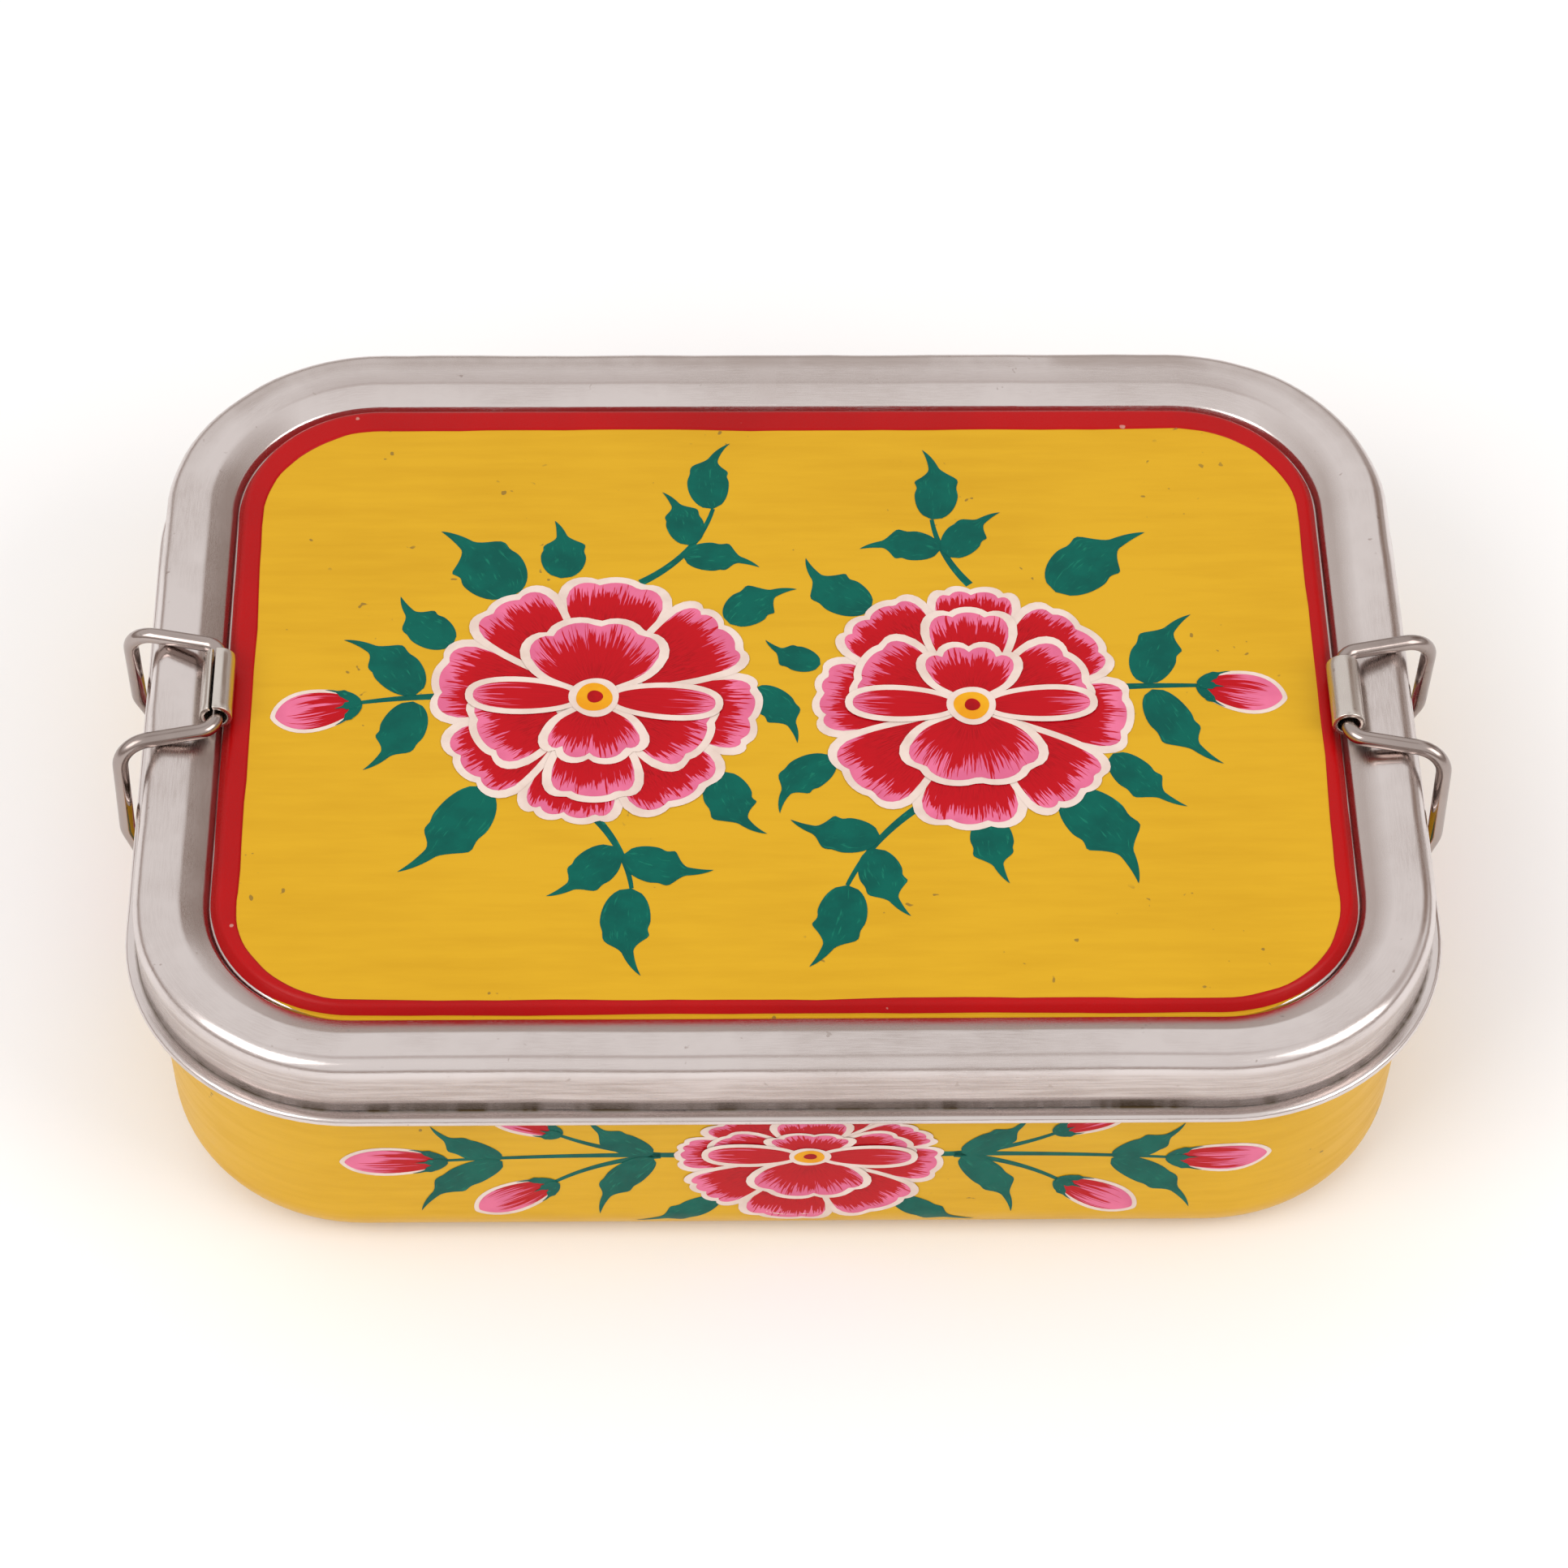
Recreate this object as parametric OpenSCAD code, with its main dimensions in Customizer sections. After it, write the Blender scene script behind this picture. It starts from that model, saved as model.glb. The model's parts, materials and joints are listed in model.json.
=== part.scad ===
// Rectangular pressed-steel lunch box with a painted lift-off lid
// and a swinging wire clip at each end. Millimetres, +Z up.
// The origin is the centre of the flat underside, +X runs along the length.

/* [Overall] */
// Length over the rolled rim
rim_length = 181; // [150:1:220]
// Depth over the rolled rim, front to back
rim_depth = 135.4; // [112:0.2:165]
// Radius of the rim's corners in plan
rim_corner_r = 32.2; // [26:0.2:40]
// Height from the underside to the lid's crown
box_height = 46; // [38:0.5:56]
// Thickness of the pressed sheet
sheet = 0.6; // [0.5:0.05:0.75]

/* [Tray] */
// How far the wall stands inside the rim's edge, at the top
wall_inset = 3.8; // [3.4:0.1:4.6]
// How much the wall leans in on its way down
wall_taper = 1.0; // [0.4:0.1:1.6]
// Outside radius of the edge between wall and floor
floor_edge_r = 8.7; // [5:0.1:11]
// Thickness of the rolled rim
rim_thick = 1.4; // [1.1:0.1:1.8]
// Height of the neck above the rim, inside the lid
neck_height = 5.2; // [4.2:0.1:5.6]
// Radius of the curl round the neck's mouth
mouth_curl_r = 0.5; // [0.4:0.05:0.6]
// Thickness of the paint
coat = 0.15; // [0.1:0.01:0.2]
// Bare strip left between the paint and the rim or the floor
coat_margin = 0.4; // [0.3:0.1:1]

/* [Lid] */
// How far the rim reaches out past the lid's skirt
rim_reach = 1.7; // [1.2:0.1:2.2]
// Height from the rim's top to the lid's crown
lid_height = 9.7; // [8.6:0.1:11.6]
// Running gap all round, between the lid and the neck
lid_play = 0.35; // [0.2:0.05:0.6]
// Gap between the skirt's lower edge and the rim
seat_gap = 0.3; // [0.2:0.05:0.5]
// Radius of the lid's outer shoulder
shoulder_r = 2.4; // [1.8:0.1:3]
// Distance from the skirt in to the valley round the panel
valley_in = 10.5; // [9:0.1:12]
// Depth of the valley below the crown
valley_drop = 3.9; // [3:0.1:4.1]
// Distance from the skirt in to the line where the ring starts to fall away
ring_bend_in = 6.4; // [5:0.1:7.5]
// Depth of that line below the crown
ring_bend_drop = 0.7; // [0.3:0.1:1.2]
// Width of the short slope between the valley and the panel
panel_step = 1.2; // [0.8:0.1:1.8]
// Depth of the flat panel below the crown
panel_drop = 1.4; // [1:0.1:1.7]
// Width of the red band round the panel's edge
border_width = 3.6; // [2.4:0.1:5]
// Bare strip left between the band and the valley, up the slope
border_margin = 0.5; // [0.3:0.1:0.8]

/* [Clips] */
// Diameter of the clip wire
wire_d = 2.2; // [1.8:0.1:2.7]
// Outside diameter of the rolled grip sleeve
sleeve_d = 4.6; // [3.8:0.1:5.6]
// Wall of the grip sleeve
sleeve_wall = 0.75; // [0.5:0.05:0.85]
// Length of the grip sleeve
sleeve_length = 11; // [9:0.5:13]
// Width of the seam along the sleeve
sleeve_seam = 0.35; // [0.2:0.05:0.6]
// Distance from the skirt in to the sleeve's centre
sleeve_in = 9.8; // [8.8:0.1:10.4]
// Gap between the closed clip and what lies under it
clip_play = 0.15; // [0.1:0.05:0.3]
// Gap between the closed clip's legs and the rim
leg_play = 0.6; // [0.4:0.1:1]
// Half the spacing of the legs at the lid's edge
leg_spread_top = 10.4; // [9.6:0.1:12]
// Extra half spacing of the legs at the hinge
leg_splay = 2.4; // [1:0.1:3]
// Bend radius beside the sleeve and at the hinge, on the wire's centreline
tight_bend_r = 2.6; // [2.4:0.1:3]
// Bend radius over the lid's edge, on the wire's centreline
edge_bend_r = 3.6; // [3.2:0.1:4]
// Gap between the wire's two ends, inside the sleeve
wire_end_gap = 0.4; // [0.2:0.1:1]
// Height of the hinge below the rim's underside
hinge_drop = 9.9; // [8.6:0.1:12]
// Height above the hinge at which the legs start to lean in to it
knee_height = 6; // [5.4:0.1:7]
// How far the hinge sits inside the rim's edge
hinge_inset = 0.5; // [0.3:0.1:0.8]
// Radial running gap between the hinge bar and its strap
hinge_play = 0.06; // [0.03:0.01:0.1]
// Width of the hinge strap, along the bar
strap_width = 14; // [11:0.5:16]
// Thickness of the hinge strap
strap_thick = 0.6; // [0.5:0.05:0.75]
// Height of the strap's foot on the wall
strap_foot = 8; // [6:0.5:10]
// Front-to-back place of the left clip
left_clip_y = -1; // [-4:0.5:4]
// Front-to-back place of the right clip
right_clip_y = -3; // [-4:0.5:4]

/* [Hidden] */
$fn = 64;
// Margin by which a cutting shape runs past what it cuts
past = 1;
// How far a straight run of wire reaches into its bends, and how much thicker
// than the straight a bend is, so that the two merge into one solid
lap = 0.02;
bend_swell = 0.002;
// Share of the bend beside the sleeve that lies outside the sleeve's end
bend_outside = 0.8;
// How far down and outwards from level the sleeve's seam faces
seam_angle = 60;

// Centre of the +X +Y corner, which every outline of the box shares
corner_x = rim_length / 2 - rim_corner_r;
corner_y = rim_depth / 2 - rim_corner_r;

// Distances of the walls from that corner centre
lid_rho = rim_corner_r - rim_reach;
neck_rho = lid_rho - sheet - lid_play;
wall_top_rho = rim_corner_r - wall_inset;
wall_low_rho = wall_top_rho - wall_taper;
floor_rho = wall_low_rho - floor_edge_r;
crown_rho = lid_rho - shoulder_r;
ring_bend_rho = lid_rho - ring_bend_in;
valley_rho = lid_rho - valley_in;
panel_rho = valley_rho - panel_step;
yellow_rho = valley_rho - border_width;

// Heights
crown_z = box_height;
rim_top_z = crown_z - lid_height;
rim_low_z = rim_top_z - rim_thick;
neck_top_z = rim_top_z + neck_height;
skirt_z = rim_top_z + seat_gap;
panel_z = crown_z - panel_drop;
valley_z = crown_z - valley_drop;

// The lid's top from its middle out to the crown, as distance and height
lid_top = [
    [0, panel_z], [panel_rho, panel_z], [valley_rho, valley_z],
    [ring_bend_rho, crown_z - ring_bend_drop], [crown_rho, crown_z]];

// The clip, seen on the +X side
wire_r = wire_d / 2;
sleeve_r = sleeve_d / 2;
sleeve_x = corner_x + lid_rho - sleeve_in;
clip_z = crown_z + max(wire_r, sleeve_r - panel_drop + coat) + clip_play;
leg_x = rim_length / 2 + wire_r + leg_play;
hinge_x = rim_length / 2 - hinge_inset;
hinge_z = rim_low_z - hinge_drop;
leg_spread_low = leg_spread_top + leg_splay;
knee_z = hinge_z + knee_height;
knee_lean = leg_splay * knee_height / (clip_z - hinge_z);
sleeve_corner_y = sleeve_length / 2 + tight_bend_r * bend_outside;
barrel_r = wire_r + hinge_play + strap_thick;
strap_web_z = hinge_z - barrel_r;
strap_top_z = strap_web_z + strap_thick;
strap_low_z = strap_top_z - strap_foot;

// Outside of the end wall at a height, on the +X side
function end_wall_x(z) = corner_x + wall_low_rho
    + wall_taper * (z - floor_edge_r) / (rim_low_z - floor_edge_r);

function unit(v) = v / norm(v);

// Downward normal of run i of a flat path that goes outwards
function below(path, i) = let (along = unit(path[i + 1] - path[i])) [along[1], -along[0]];

// A flat path moved down by a thickness, square to each of its runs. Its two
// ends move straight down.
function lowered(path, depth) = [
    for (i = [0 : len(path) - 1])
        i == 0 || i == len(path) - 1 ? path[i] - [0, depth]
        : let (before = below(path, i - 1), after = below(path, i))
            path[i] + depth * (before + after) / (1 + before * after)];

// Matrix that carries the axes to x, y and z, and the origin to p
function placed(x, y, z, p) = [
    [x[0], y[0], z[0], p[0]],
    [x[1], y[1], z[1], p[1]],
    [x[2], y[2], z[2], p[2]],
    [0, 0, 0, 1]];

// ---- the box -------------------------------------------------------------

// Carries an outline, given as distance from the corner centre and height,
// all the way round the box
module around() {
    for (sx = [0, 1], sy = [0, 1])
        mirror([sx, 0, 0]) mirror([0, sy, 0])
            translate([corner_x, corner_y, 0])
                rotate_extrude(angle = 90) children();
    for (s = [0, 1])
        mirror([s, 0, 0])
            translate([corner_x, corner_y, 0])
                rotate([90, 0, 0]) linear_extrude(2 * corner_y) children();
    for (s = [0, 1])
        mirror([0, s, 0])
            translate([-corner_x, corner_y, 0])
                rotate([90, 0, 90]) linear_extrude(2 * corner_x) children();
}

// Flat sheet between the corner centres
module middle(z_low, z_high) {
    translate([-corner_x, -corner_y, z_low])
        cube([2 * corner_x, 2 * corner_y, z_high - z_low]);
}

// The tray's outline as far as the rim's underside, grown by a thickness
module tray_outline(grow) {
    translate([floor_rho, floor_edge_r]) circle(r = floor_edge_r + grow);
    polygon([
        [0, -grow], [floor_rho, -grow], [floor_rho, floor_edge_r],
        [wall_low_rho + grow, floor_edge_r],
        [wall_top_rho + grow, rim_low_z], [0, rim_low_z]]);
}

module tray_wall() {
    difference() {
        tray_outline(0);
        tray_outline(-sheet);
    }
}

module rim_and_neck() {
    // The rim is a flat fold with a round outer edge
    translate([wall_top_rho - sheet, rim_low_z])
        square([rim_corner_r - rim_thick / 2 - wall_top_rho + sheet, rim_thick]);
    translate([rim_corner_r - rim_thick / 2, rim_low_z + rim_thick / 2])
        circle(d = rim_thick);
    translate([neck_rho - sheet, rim_low_z])
        square([sheet, neck_top_z - mouth_curl_r - rim_low_z]);
    translate([neck_rho - mouth_curl_r, neck_top_z - mouth_curl_r])
        circle(r = mouth_curl_r);
}

module tray() {
    color("silver") {
        around() tray_wall();
        middle(0, sheet);
        around() rim_and_neck();
    }
}

module tray_enamel() {
    color("gold")
        difference() {
            around() coat_outline();
            strap_window(left_clip_y, -1);
            strap_window(right_clip_y, 1);
        }
}

module coat_outline() {
    intersection() {
        difference() {
            tray_outline(coat);
            tray_outline(0);
        }
        translate([floor_rho, coat_margin])
            square([rim_corner_r, rim_low_z - 2 * coat_margin]);
    }
}

// Bare metal under a strap's foot, left out of the paint
module strap_window(clip_y, side) {
    translate([side * hinge_x, clip_y, strap_top_z - strap_foot / 2])
        cube([2 * wall_inset + 2 * wall_taper + past, strap_width + 2 * coat,
              strap_foot + 2 * coat], center = true);
}

// The lid as a filled outline, drawn in by a thickness
module lid_outline(inset) {
    translate([crown_rho, crown_z - shoulder_r]) circle(r = shoulder_r - inset);
    polygon([
        [0, skirt_z - inset], [lid_rho - inset, skirt_z - inset],
        [lid_rho - inset, crown_z - shoulder_r],
        [crown_rho, crown_z - shoulder_r],
        for (i = [len(lid_top) - 1 : -1 : 0]) lowered(lid_top, inset)[i]]);
}

module lid() {
    color("silver") {
        around()
            difference() {
                lid_outline(0);
                lid_outline(sheet);
            }
        middle(panel_z - sheet, panel_z);
    }
}

module lid_enamel() {
    color("gold") {
        around() translate([0, panel_z]) square([yellow_rho, coat]);
        middle(panel_z, panel_z + coat);
    }
}

// The red band covers the panel's edge and most of the short slope outside it
module lid_red_border() {
    edge = [panel_rho, panel_z];
    foot = [valley_rho, valley_z];
    last = foot + border_margin * unit(edge - foot);
    path = [[yellow_rho, panel_z], edge, last];
    top = lowered(path, -coat);
    color("firebrick")
        around()
            polygon([
                path[0], path[1], path[2],
                last - coat * below(path, 1), top[1], top[0]]);
}

// ---- the clips -----------------------------------------------------------

// Direction of a path's run i, and the length of it that the bend at point i takes
function run(points, i) = unit(points[i + 1] - points[i]);
function turn_at(points, i) = acos(run(points, i - 1) * run(points, i));
function bend_reach(points, radii, i) = i == 0 || i == len(points) - 1 ? 0
    : radii[i] * tan(turn_at(points, i) / 2);

// Round wire from point i on, drawn from the origin along +Z. Each bend turns
// towards +X, so the wire is rolled about its own line before it.
module wire_run(points, radii, i, x_axis) {
    length = norm(points[i + 1] - points[i])
        - bend_reach(points, radii, i) - bend_reach(points, radii, i + 1);
    translate([0, 0, -lap]) cylinder(h = length + 2 * lap, r = wire_r);
    if (i + 2 < len(points)) {
        ahead = run(points, i);
        turn = turn_at(points, i + 1);
        inwards = unit(run(points, i + 1) - ahead * cos(turn));
        bend_r = radii[i + 1];
        translate([0, 0, length])
            rotate([0, 0, atan2(inwards * cross(ahead, x_axis), inwards * x_axis)]) {
                translate([bend_r, 0, 0]) rotate([90, 0, 0]) rotate([0, 0, 180 - turn])
                    rotate_extrude(angle = turn)
                        translate([bend_r, 0]) circle(r = wire_r + bend_swell);
                translate([bend_r, 0, 0]) rotate([0, turn, 0]) translate([-bend_r, 0, 0])
                    wire_run(points, radii, i + 1, inwards * cos(turn) - ahead * sin(turn));
            }
    }
}

// Half of the loop, from the middle of the hinge bar to the wire's end
module half_loop() {
    points = [
        [hinge_x, 0, hinge_z],
        [hinge_x, leg_spread_low, hinge_z],
        [leg_x, leg_spread_low - knee_lean, knee_z],
        [leg_x, leg_spread_top, clip_z],
        [sleeve_x, sleeve_corner_y, clip_z],
        [sleeve_x, wire_end_gap / 2, clip_z]];
    radii = [0, tight_bend_r, edge_bend_r, edge_bend_r, tight_bend_r, 0];
    multmatrix(placed([0, 0, 1], [1, 0, 0], [0, 1, 0], points[0]))
        wire_run(points, radii, 0, [0, 0, 1]);
}

module bail() {
    color("gainsboro")
        for (s = [0, 1]) mirror([0, s, 0]) half_loop();
}

// Strip rolled into a tube round the wire, with an open seam underneath
module grip_sleeve() {
    color("gainsboro")
        translate([sleeve_x, 0, clip_z]) rotate([90, 0, 0])
            difference() {
                cylinder(h = sleeve_length, r = sleeve_r, center = true);
                cylinder(h = sleeve_length + past, r = sleeve_r - sleeve_wall, center = true);
                rotate([0, 0, -seam_angle])
                    translate([0, -sleeve_seam / 2, -sleeve_length / 2 - past])
                        cube([sleeve_r + past, sleeve_seam, sleeve_length + 2 * past]);
            }
}

// Strap wrapped round the hinge bar, with its foot welded flat on the wall
module hinge_strap() {
    color("silver")
        translate([0, strap_width / 2, 0]) rotate([90, 0, 0])
            linear_extrude(strap_width)
                difference() {
                    union() {
                        translate([hinge_x, hinge_z]) circle(r = barrel_r);
                        polygon([
                            [end_wall_x(strap_web_z), strap_web_z],
                            [hinge_x, strap_web_z], [hinge_x, strap_top_z],
                            [end_wall_x(strap_top_z), strap_top_z]]);
                        polygon([
                            [end_wall_x(strap_low_z), strap_low_z],
                            [end_wall_x(strap_low_z) + strap_thick, strap_low_z],
                            [end_wall_x(strap_top_z) + strap_thick, strap_top_z],
                            [end_wall_x(strap_top_z), strap_top_z]]);
                    }
                    translate([hinge_x, hinge_z]) circle(r = wire_r + hinge_play);
                }
}

// Puts a clip piece, drawn on the +X side, at its own end of the box
module at_left() {
    translate([0, left_clip_y, 0]) mirror([1, 0, 0]) children();
}

module at_right() {
    translate([0, right_clip_y, 0]) children();
}

tray();
tray_enamel();
lid();
lid_enamel();
lid_red_border();
at_left() hinge_strap();  // left_bracket
at_left() bail();  // left_bail
at_left() grip_sleeve();  // left_sleeve
at_right() hinge_strap();  // right_bracket
at_right() bail();  // right_bail
at_right() grip_sleeve();  // right_sleeve
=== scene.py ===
"""Looks of a painted steel tiffin box: worn pressings with painted shade, brushed enamel, painted flowers
and wire clips.
"""

import json
import logging
import math
import random
from dataclasses import dataclass, field
from enum import Enum
from typing import Callable, Iterable

import bmesh
import bpy
from mathutils import Matrix, Vector

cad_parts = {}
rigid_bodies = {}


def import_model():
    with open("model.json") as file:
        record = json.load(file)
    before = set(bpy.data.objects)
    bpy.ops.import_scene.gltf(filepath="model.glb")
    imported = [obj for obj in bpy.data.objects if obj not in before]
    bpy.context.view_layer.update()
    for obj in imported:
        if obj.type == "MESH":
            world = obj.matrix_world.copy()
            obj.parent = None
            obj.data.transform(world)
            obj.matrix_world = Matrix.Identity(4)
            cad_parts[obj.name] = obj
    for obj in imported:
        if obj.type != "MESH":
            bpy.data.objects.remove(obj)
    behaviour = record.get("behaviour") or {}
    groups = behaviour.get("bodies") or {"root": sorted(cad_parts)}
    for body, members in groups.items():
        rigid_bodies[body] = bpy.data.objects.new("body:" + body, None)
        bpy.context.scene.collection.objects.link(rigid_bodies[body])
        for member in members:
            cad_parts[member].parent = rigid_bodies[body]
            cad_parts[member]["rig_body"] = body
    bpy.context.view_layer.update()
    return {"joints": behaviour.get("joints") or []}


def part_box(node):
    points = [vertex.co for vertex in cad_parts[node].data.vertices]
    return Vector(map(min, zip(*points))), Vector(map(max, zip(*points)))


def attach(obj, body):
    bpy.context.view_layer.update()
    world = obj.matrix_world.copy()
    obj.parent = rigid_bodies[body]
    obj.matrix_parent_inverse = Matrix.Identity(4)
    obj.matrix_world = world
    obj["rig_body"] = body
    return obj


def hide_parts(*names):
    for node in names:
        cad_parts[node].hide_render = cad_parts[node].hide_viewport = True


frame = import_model()

LOG = logging.getLogger("tiffin_box")
MM = 0.001
AROUND_UNIT = 100.0  # millimetres in one unit of the "around" attribute
STRAIGHT = 1e-3  # a turn smaller than this, in radians, isn't rounded
WELD = 0.004 * MM  # points nearer than this become one
SLIVER = 0.001 * MM  # edges shorter than this are dropped
UP = Vector((0.0, 0.0, 1.0))

Pair = tuple[float, float]
Triple = tuple[float, float, float]
Piece = bpy.types.Object
Socket = bpy.types.NodeSocket
Formula = Callable[[float, float], Vector]


# ---------------------------------------------------------------------------
# Sizes shared by the pressings
# ---------------------------------------------------------------------------


@dataclass(frozen=True)
class BoxSizes:
    """Sizes of the box in millimetres; rho is the distance from a corner's centre in plan."""

    corner_x: float
    corner_y: float
    rim_rho: float = 32.2
    lid_rho: float = 30.5
    neck_rho: float = 29.55
    wall_top_rho: float = 28.4
    wall_low_rho: float = 27.4
    valley_rho: float = 20.0
    bend_rho: float = 24.1
    panel_rho: float = 18.8
    yellow_rho: float = 16.4
    floor_edge_r: float = 8.7
    sheet: float = 0.6
    coat: float = 0.15
    crown_z: float = 46.0
    bend_z: float = 45.3
    valley_z: float = 42.4
    panel_z: float = 44.6
    skirt_z: float = 36.6
    rim_top_z: float = 36.3
    rim_low_z: float = 34.9
    neck_top_z: float = 41.5

    @classmethod
    def from_frame(cls) -> "BoxSizes":
        """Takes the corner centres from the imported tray.

        Returns:
            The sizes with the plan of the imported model.
        """
        _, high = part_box("tray")
        return cls(high.x / MM - cls.rim_rho, high.y / MM - cls.rim_rho)

    def wall_rho(self, z: float) -> float:
        """Outside of the tray's leaning wall at a height.

        Args:
            z: Height above the table, in millimetres.

        Returns:
            The distance from the corner's centre, in millimetres.
        """
        rise = (z - self.floor_edge_r) / (self.rim_low_z - self.floor_edge_r)
        return self.wall_low_rho + (self.wall_top_rho - self.wall_low_rho) * rise


# ---------------------------------------------------------------------------
# Mesh helpers
# ---------------------------------------------------------------------------


def rounded_path(corners: list[Triple], step_deg: float = 9.0) -> list[Vector]:
    """Rounds the inner corners of a flat path with arcs.

    Args:
        corners: Points of the path, each with the radius of its bend.
        step_deg: Largest turn between two points of an arc.

    Returns:
        The points of the rounded path, as 2D vectors.
    """
    points = [Vector(c[:2]) for c in corners]
    out = [points[0]]
    radii = [c[2] for c in corners[1:]]
    for before, here, after, radius in zip(points, points[1:], points[2:], radii):
        back, ahead = (before - here).normalized(), (after - here).normalized()
        turn = math.pi - back.angle(ahead)
        if radius <= 0 or turn < STRAIGHT:
            out.append(here)
            continue
        reach = radius * math.tan(turn / 2)
        start = here + back * reach
        centre = here + (back + ahead).normalized() * radius / math.cos(turn / 2)
        steps = max(2, math.ceil(math.degrees(turn) / step_deg))
        sign = 1 if (-back).x * ahead.y - (-back).y * ahead.x > 0 else -1
        for k in range(steps + 1):
            arm = start - centre
            arm.rotate(Matrix.Rotation(sign * turn * k / steps, 2))
            out.append(centre + arm)
    out.append(points[-1])
    return out


def filled_runs(path: list[Vector], longest: float) -> list[Vector]:
    """Adds points to the long straight runs of a path.

    Args:
        path: Points of the path.
        longest: Longest run to leave whole.

    Returns:
        The path with its long runs divided evenly.
    """
    out = [path[0]]
    for a, b in zip(path, path[1:]):
        parts = max(1, math.ceil((b - a).length / longest))
        out += [a.lerp(b, k / parts) for k in range(1, parts + 1)]
    return out


def sweep_round(
    bm: bmesh.types.BMesh, path: list[Vector], sizes: BoxSizes, steps: int = 22, run: float = 4.0
) -> None:
    """Carries an open section all the way round the box: along each side, and spun round each corner.

    Args:
        bm: Mesh to draw in.
        path: Section as (rho, z) points, in millimetres.
        sizes: Plan of the box.
        steps: Steps round a corner.
        run: Longest step along a side, in millimetres.
    """
    cx, cy = sizes.corner_x, sizes.corner_y
    verts = [bm.verts.new(((cx + p.x) * MM, -cy * MM, p.y * MM)) for p in path]
    edges = [bm.edges.new(pair) for pair in zip(verts, verts[1:])]
    geom: list = verts + edges
    sides = [
        ((0, 1), cy, (cx, cy)),
        ((-1, 0), cx, (-cx, cy)),
        ((0, -1), cy, (-cx, -cy)),
        ((1, 0), cx, (cx, -cy)),
    ]
    for way, half, centre in sides:
        count = math.ceil(2 * half / run)
        offset = Vector((way[0], way[1], 0)) * (2 * half / count * MM)
        for _ in range(count):
            edges = [g for g in geom if isinstance(g, bmesh.types.BMEdge)]
            geom = bmesh.ops.extrude_edge_only(bm, edges=edges)["geom"]
            geom = [g for g in geom if not isinstance(g, bmesh.types.BMFace)]
            moved = [g for g in geom if isinstance(g, bmesh.types.BMVert)]
            bmesh.ops.translate(bm, verts=moved, vec=offset)
        spun = bmesh.ops.spin(
            bm, geom=geom, cent=(centre[0] * MM, centre[1] * MM, 0), axis=UP, angle=math.pi / 2, steps=steps
        )
        geom = [g for g in spun["geom_last"] if not isinstance(g, bmesh.types.BMFace)]
    bmesh.ops.remove_doubles(bm, verts=bm.verts, dist=WELD)
    bmesh.ops.dissolve_degenerate(bm, dist=SLIVER, edges=bm.edges)


def fill_middles(bm: bmesh.types.BMesh, sizes: BoxSizes) -> None:
    """Closes the flat rectangle between the corner centres on each sheet that reaches it.

    Args:
        bm: Mesh with an open rectangle.
        sizes: Plan of the box.
    """
    slack = 0.01
    reach = Vector((sizes.corner_x + slack, sizes.corner_y + slack)) * MM
    rims = [
        edge
        for edge in bm.edges
        if edge.is_boundary and all(abs(v.co.x) < reach.x and abs(v.co.y) < reach.y for v in edge.verts)
    ]
    bmesh.ops.holes_fill(bm, edges=rims, sides=0)


def around_of(point: Vector, sizes: BoxSizes) -> Pair:
    """Place of a point as the distance round the box and the distance out from the corner centres.

    Args:
        point: Point in metres.
        sizes: Plan of the box.

    Returns:
        Distance round the box and rho, both in millimetres.
    """
    x, y = point.x / MM, point.y / MM
    cx, cy = sizes.corner_x, sizes.corner_y
    dx, dy = max(abs(x) - cx, 0.0), max(abs(y) - cy, 0.0)
    rho = math.hypot(dx, dy) if dx or dy else min(0.0, max(abs(x) - cx, abs(y) - cy))
    quarter = cx + cy + sizes.lid_rho * math.pi / 2
    if dx > 0 and dy > 0:
        along = cx + sizes.lid_rho * math.atan2(dx, dy)
    elif abs(y) - cy >= abs(x) - cx:
        along = min(abs(x), cx)
    else:
        along = cx + sizes.lid_rho * math.pi / 2 + cy - min(abs(y), cy)
    along = along if y < 0 else 2 * quarter - along
    return math.copysign(along, x), rho


class Wobble(Enum):
    """The uneven lines round the box, each with the number that makes it differ from the others."""

    BAND_OUTER = 2.6
    RING_HEIGHT = 3.1
    BAND_INNER = 5.2
    RING_WIDTH = 8.4


# How often each wave goes up and down round the box, and its size; a whole number closes on itself.
WAVES = ((7, 0.5), (13, 0.3), (23, 0.25), (41, 0.16), (67, 0.1))


def wave(along: float, wobble: Wobble, sizes: BoxSizes) -> float:
    """Smooth hand wobble that closes on itself round the box.

    Args:
        along: Distance round the box, in millimetres.
        wobble: Which uneven line to follow.
        sizes: Plan of the box.

    Returns:
        A value of about -1 to 1.
    """
    first_phase = 1.7
    whole = 4 * (sizes.corner_x + sizes.corner_y) + 2 * math.pi * sizes.lid_rho
    turn = 2 * math.pi * along / whole
    phases = [wobble.value * (k + first_phase) for k in range(len(WAVES))]
    return sum(size * math.sin(count * turn + phase) for (count, size), phase in zip(WAVES, phases))


def lifted(path: list[Vector], lift: float) -> list[Vector]:
    """Moves a path square to itself, to the left of its run.

    Args:
        path: Points of the path.
        lift: Distance to move by.

    Returns:
        The moved path.
    """
    out = []
    for k, p in enumerate(path):
        run = (path[min(len(path) - 1, k + 1)] - path[max(0, k - 1)]).normalized()
        out.append(p + Vector((-run.y, run.x)) * lift)
    return out


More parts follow.
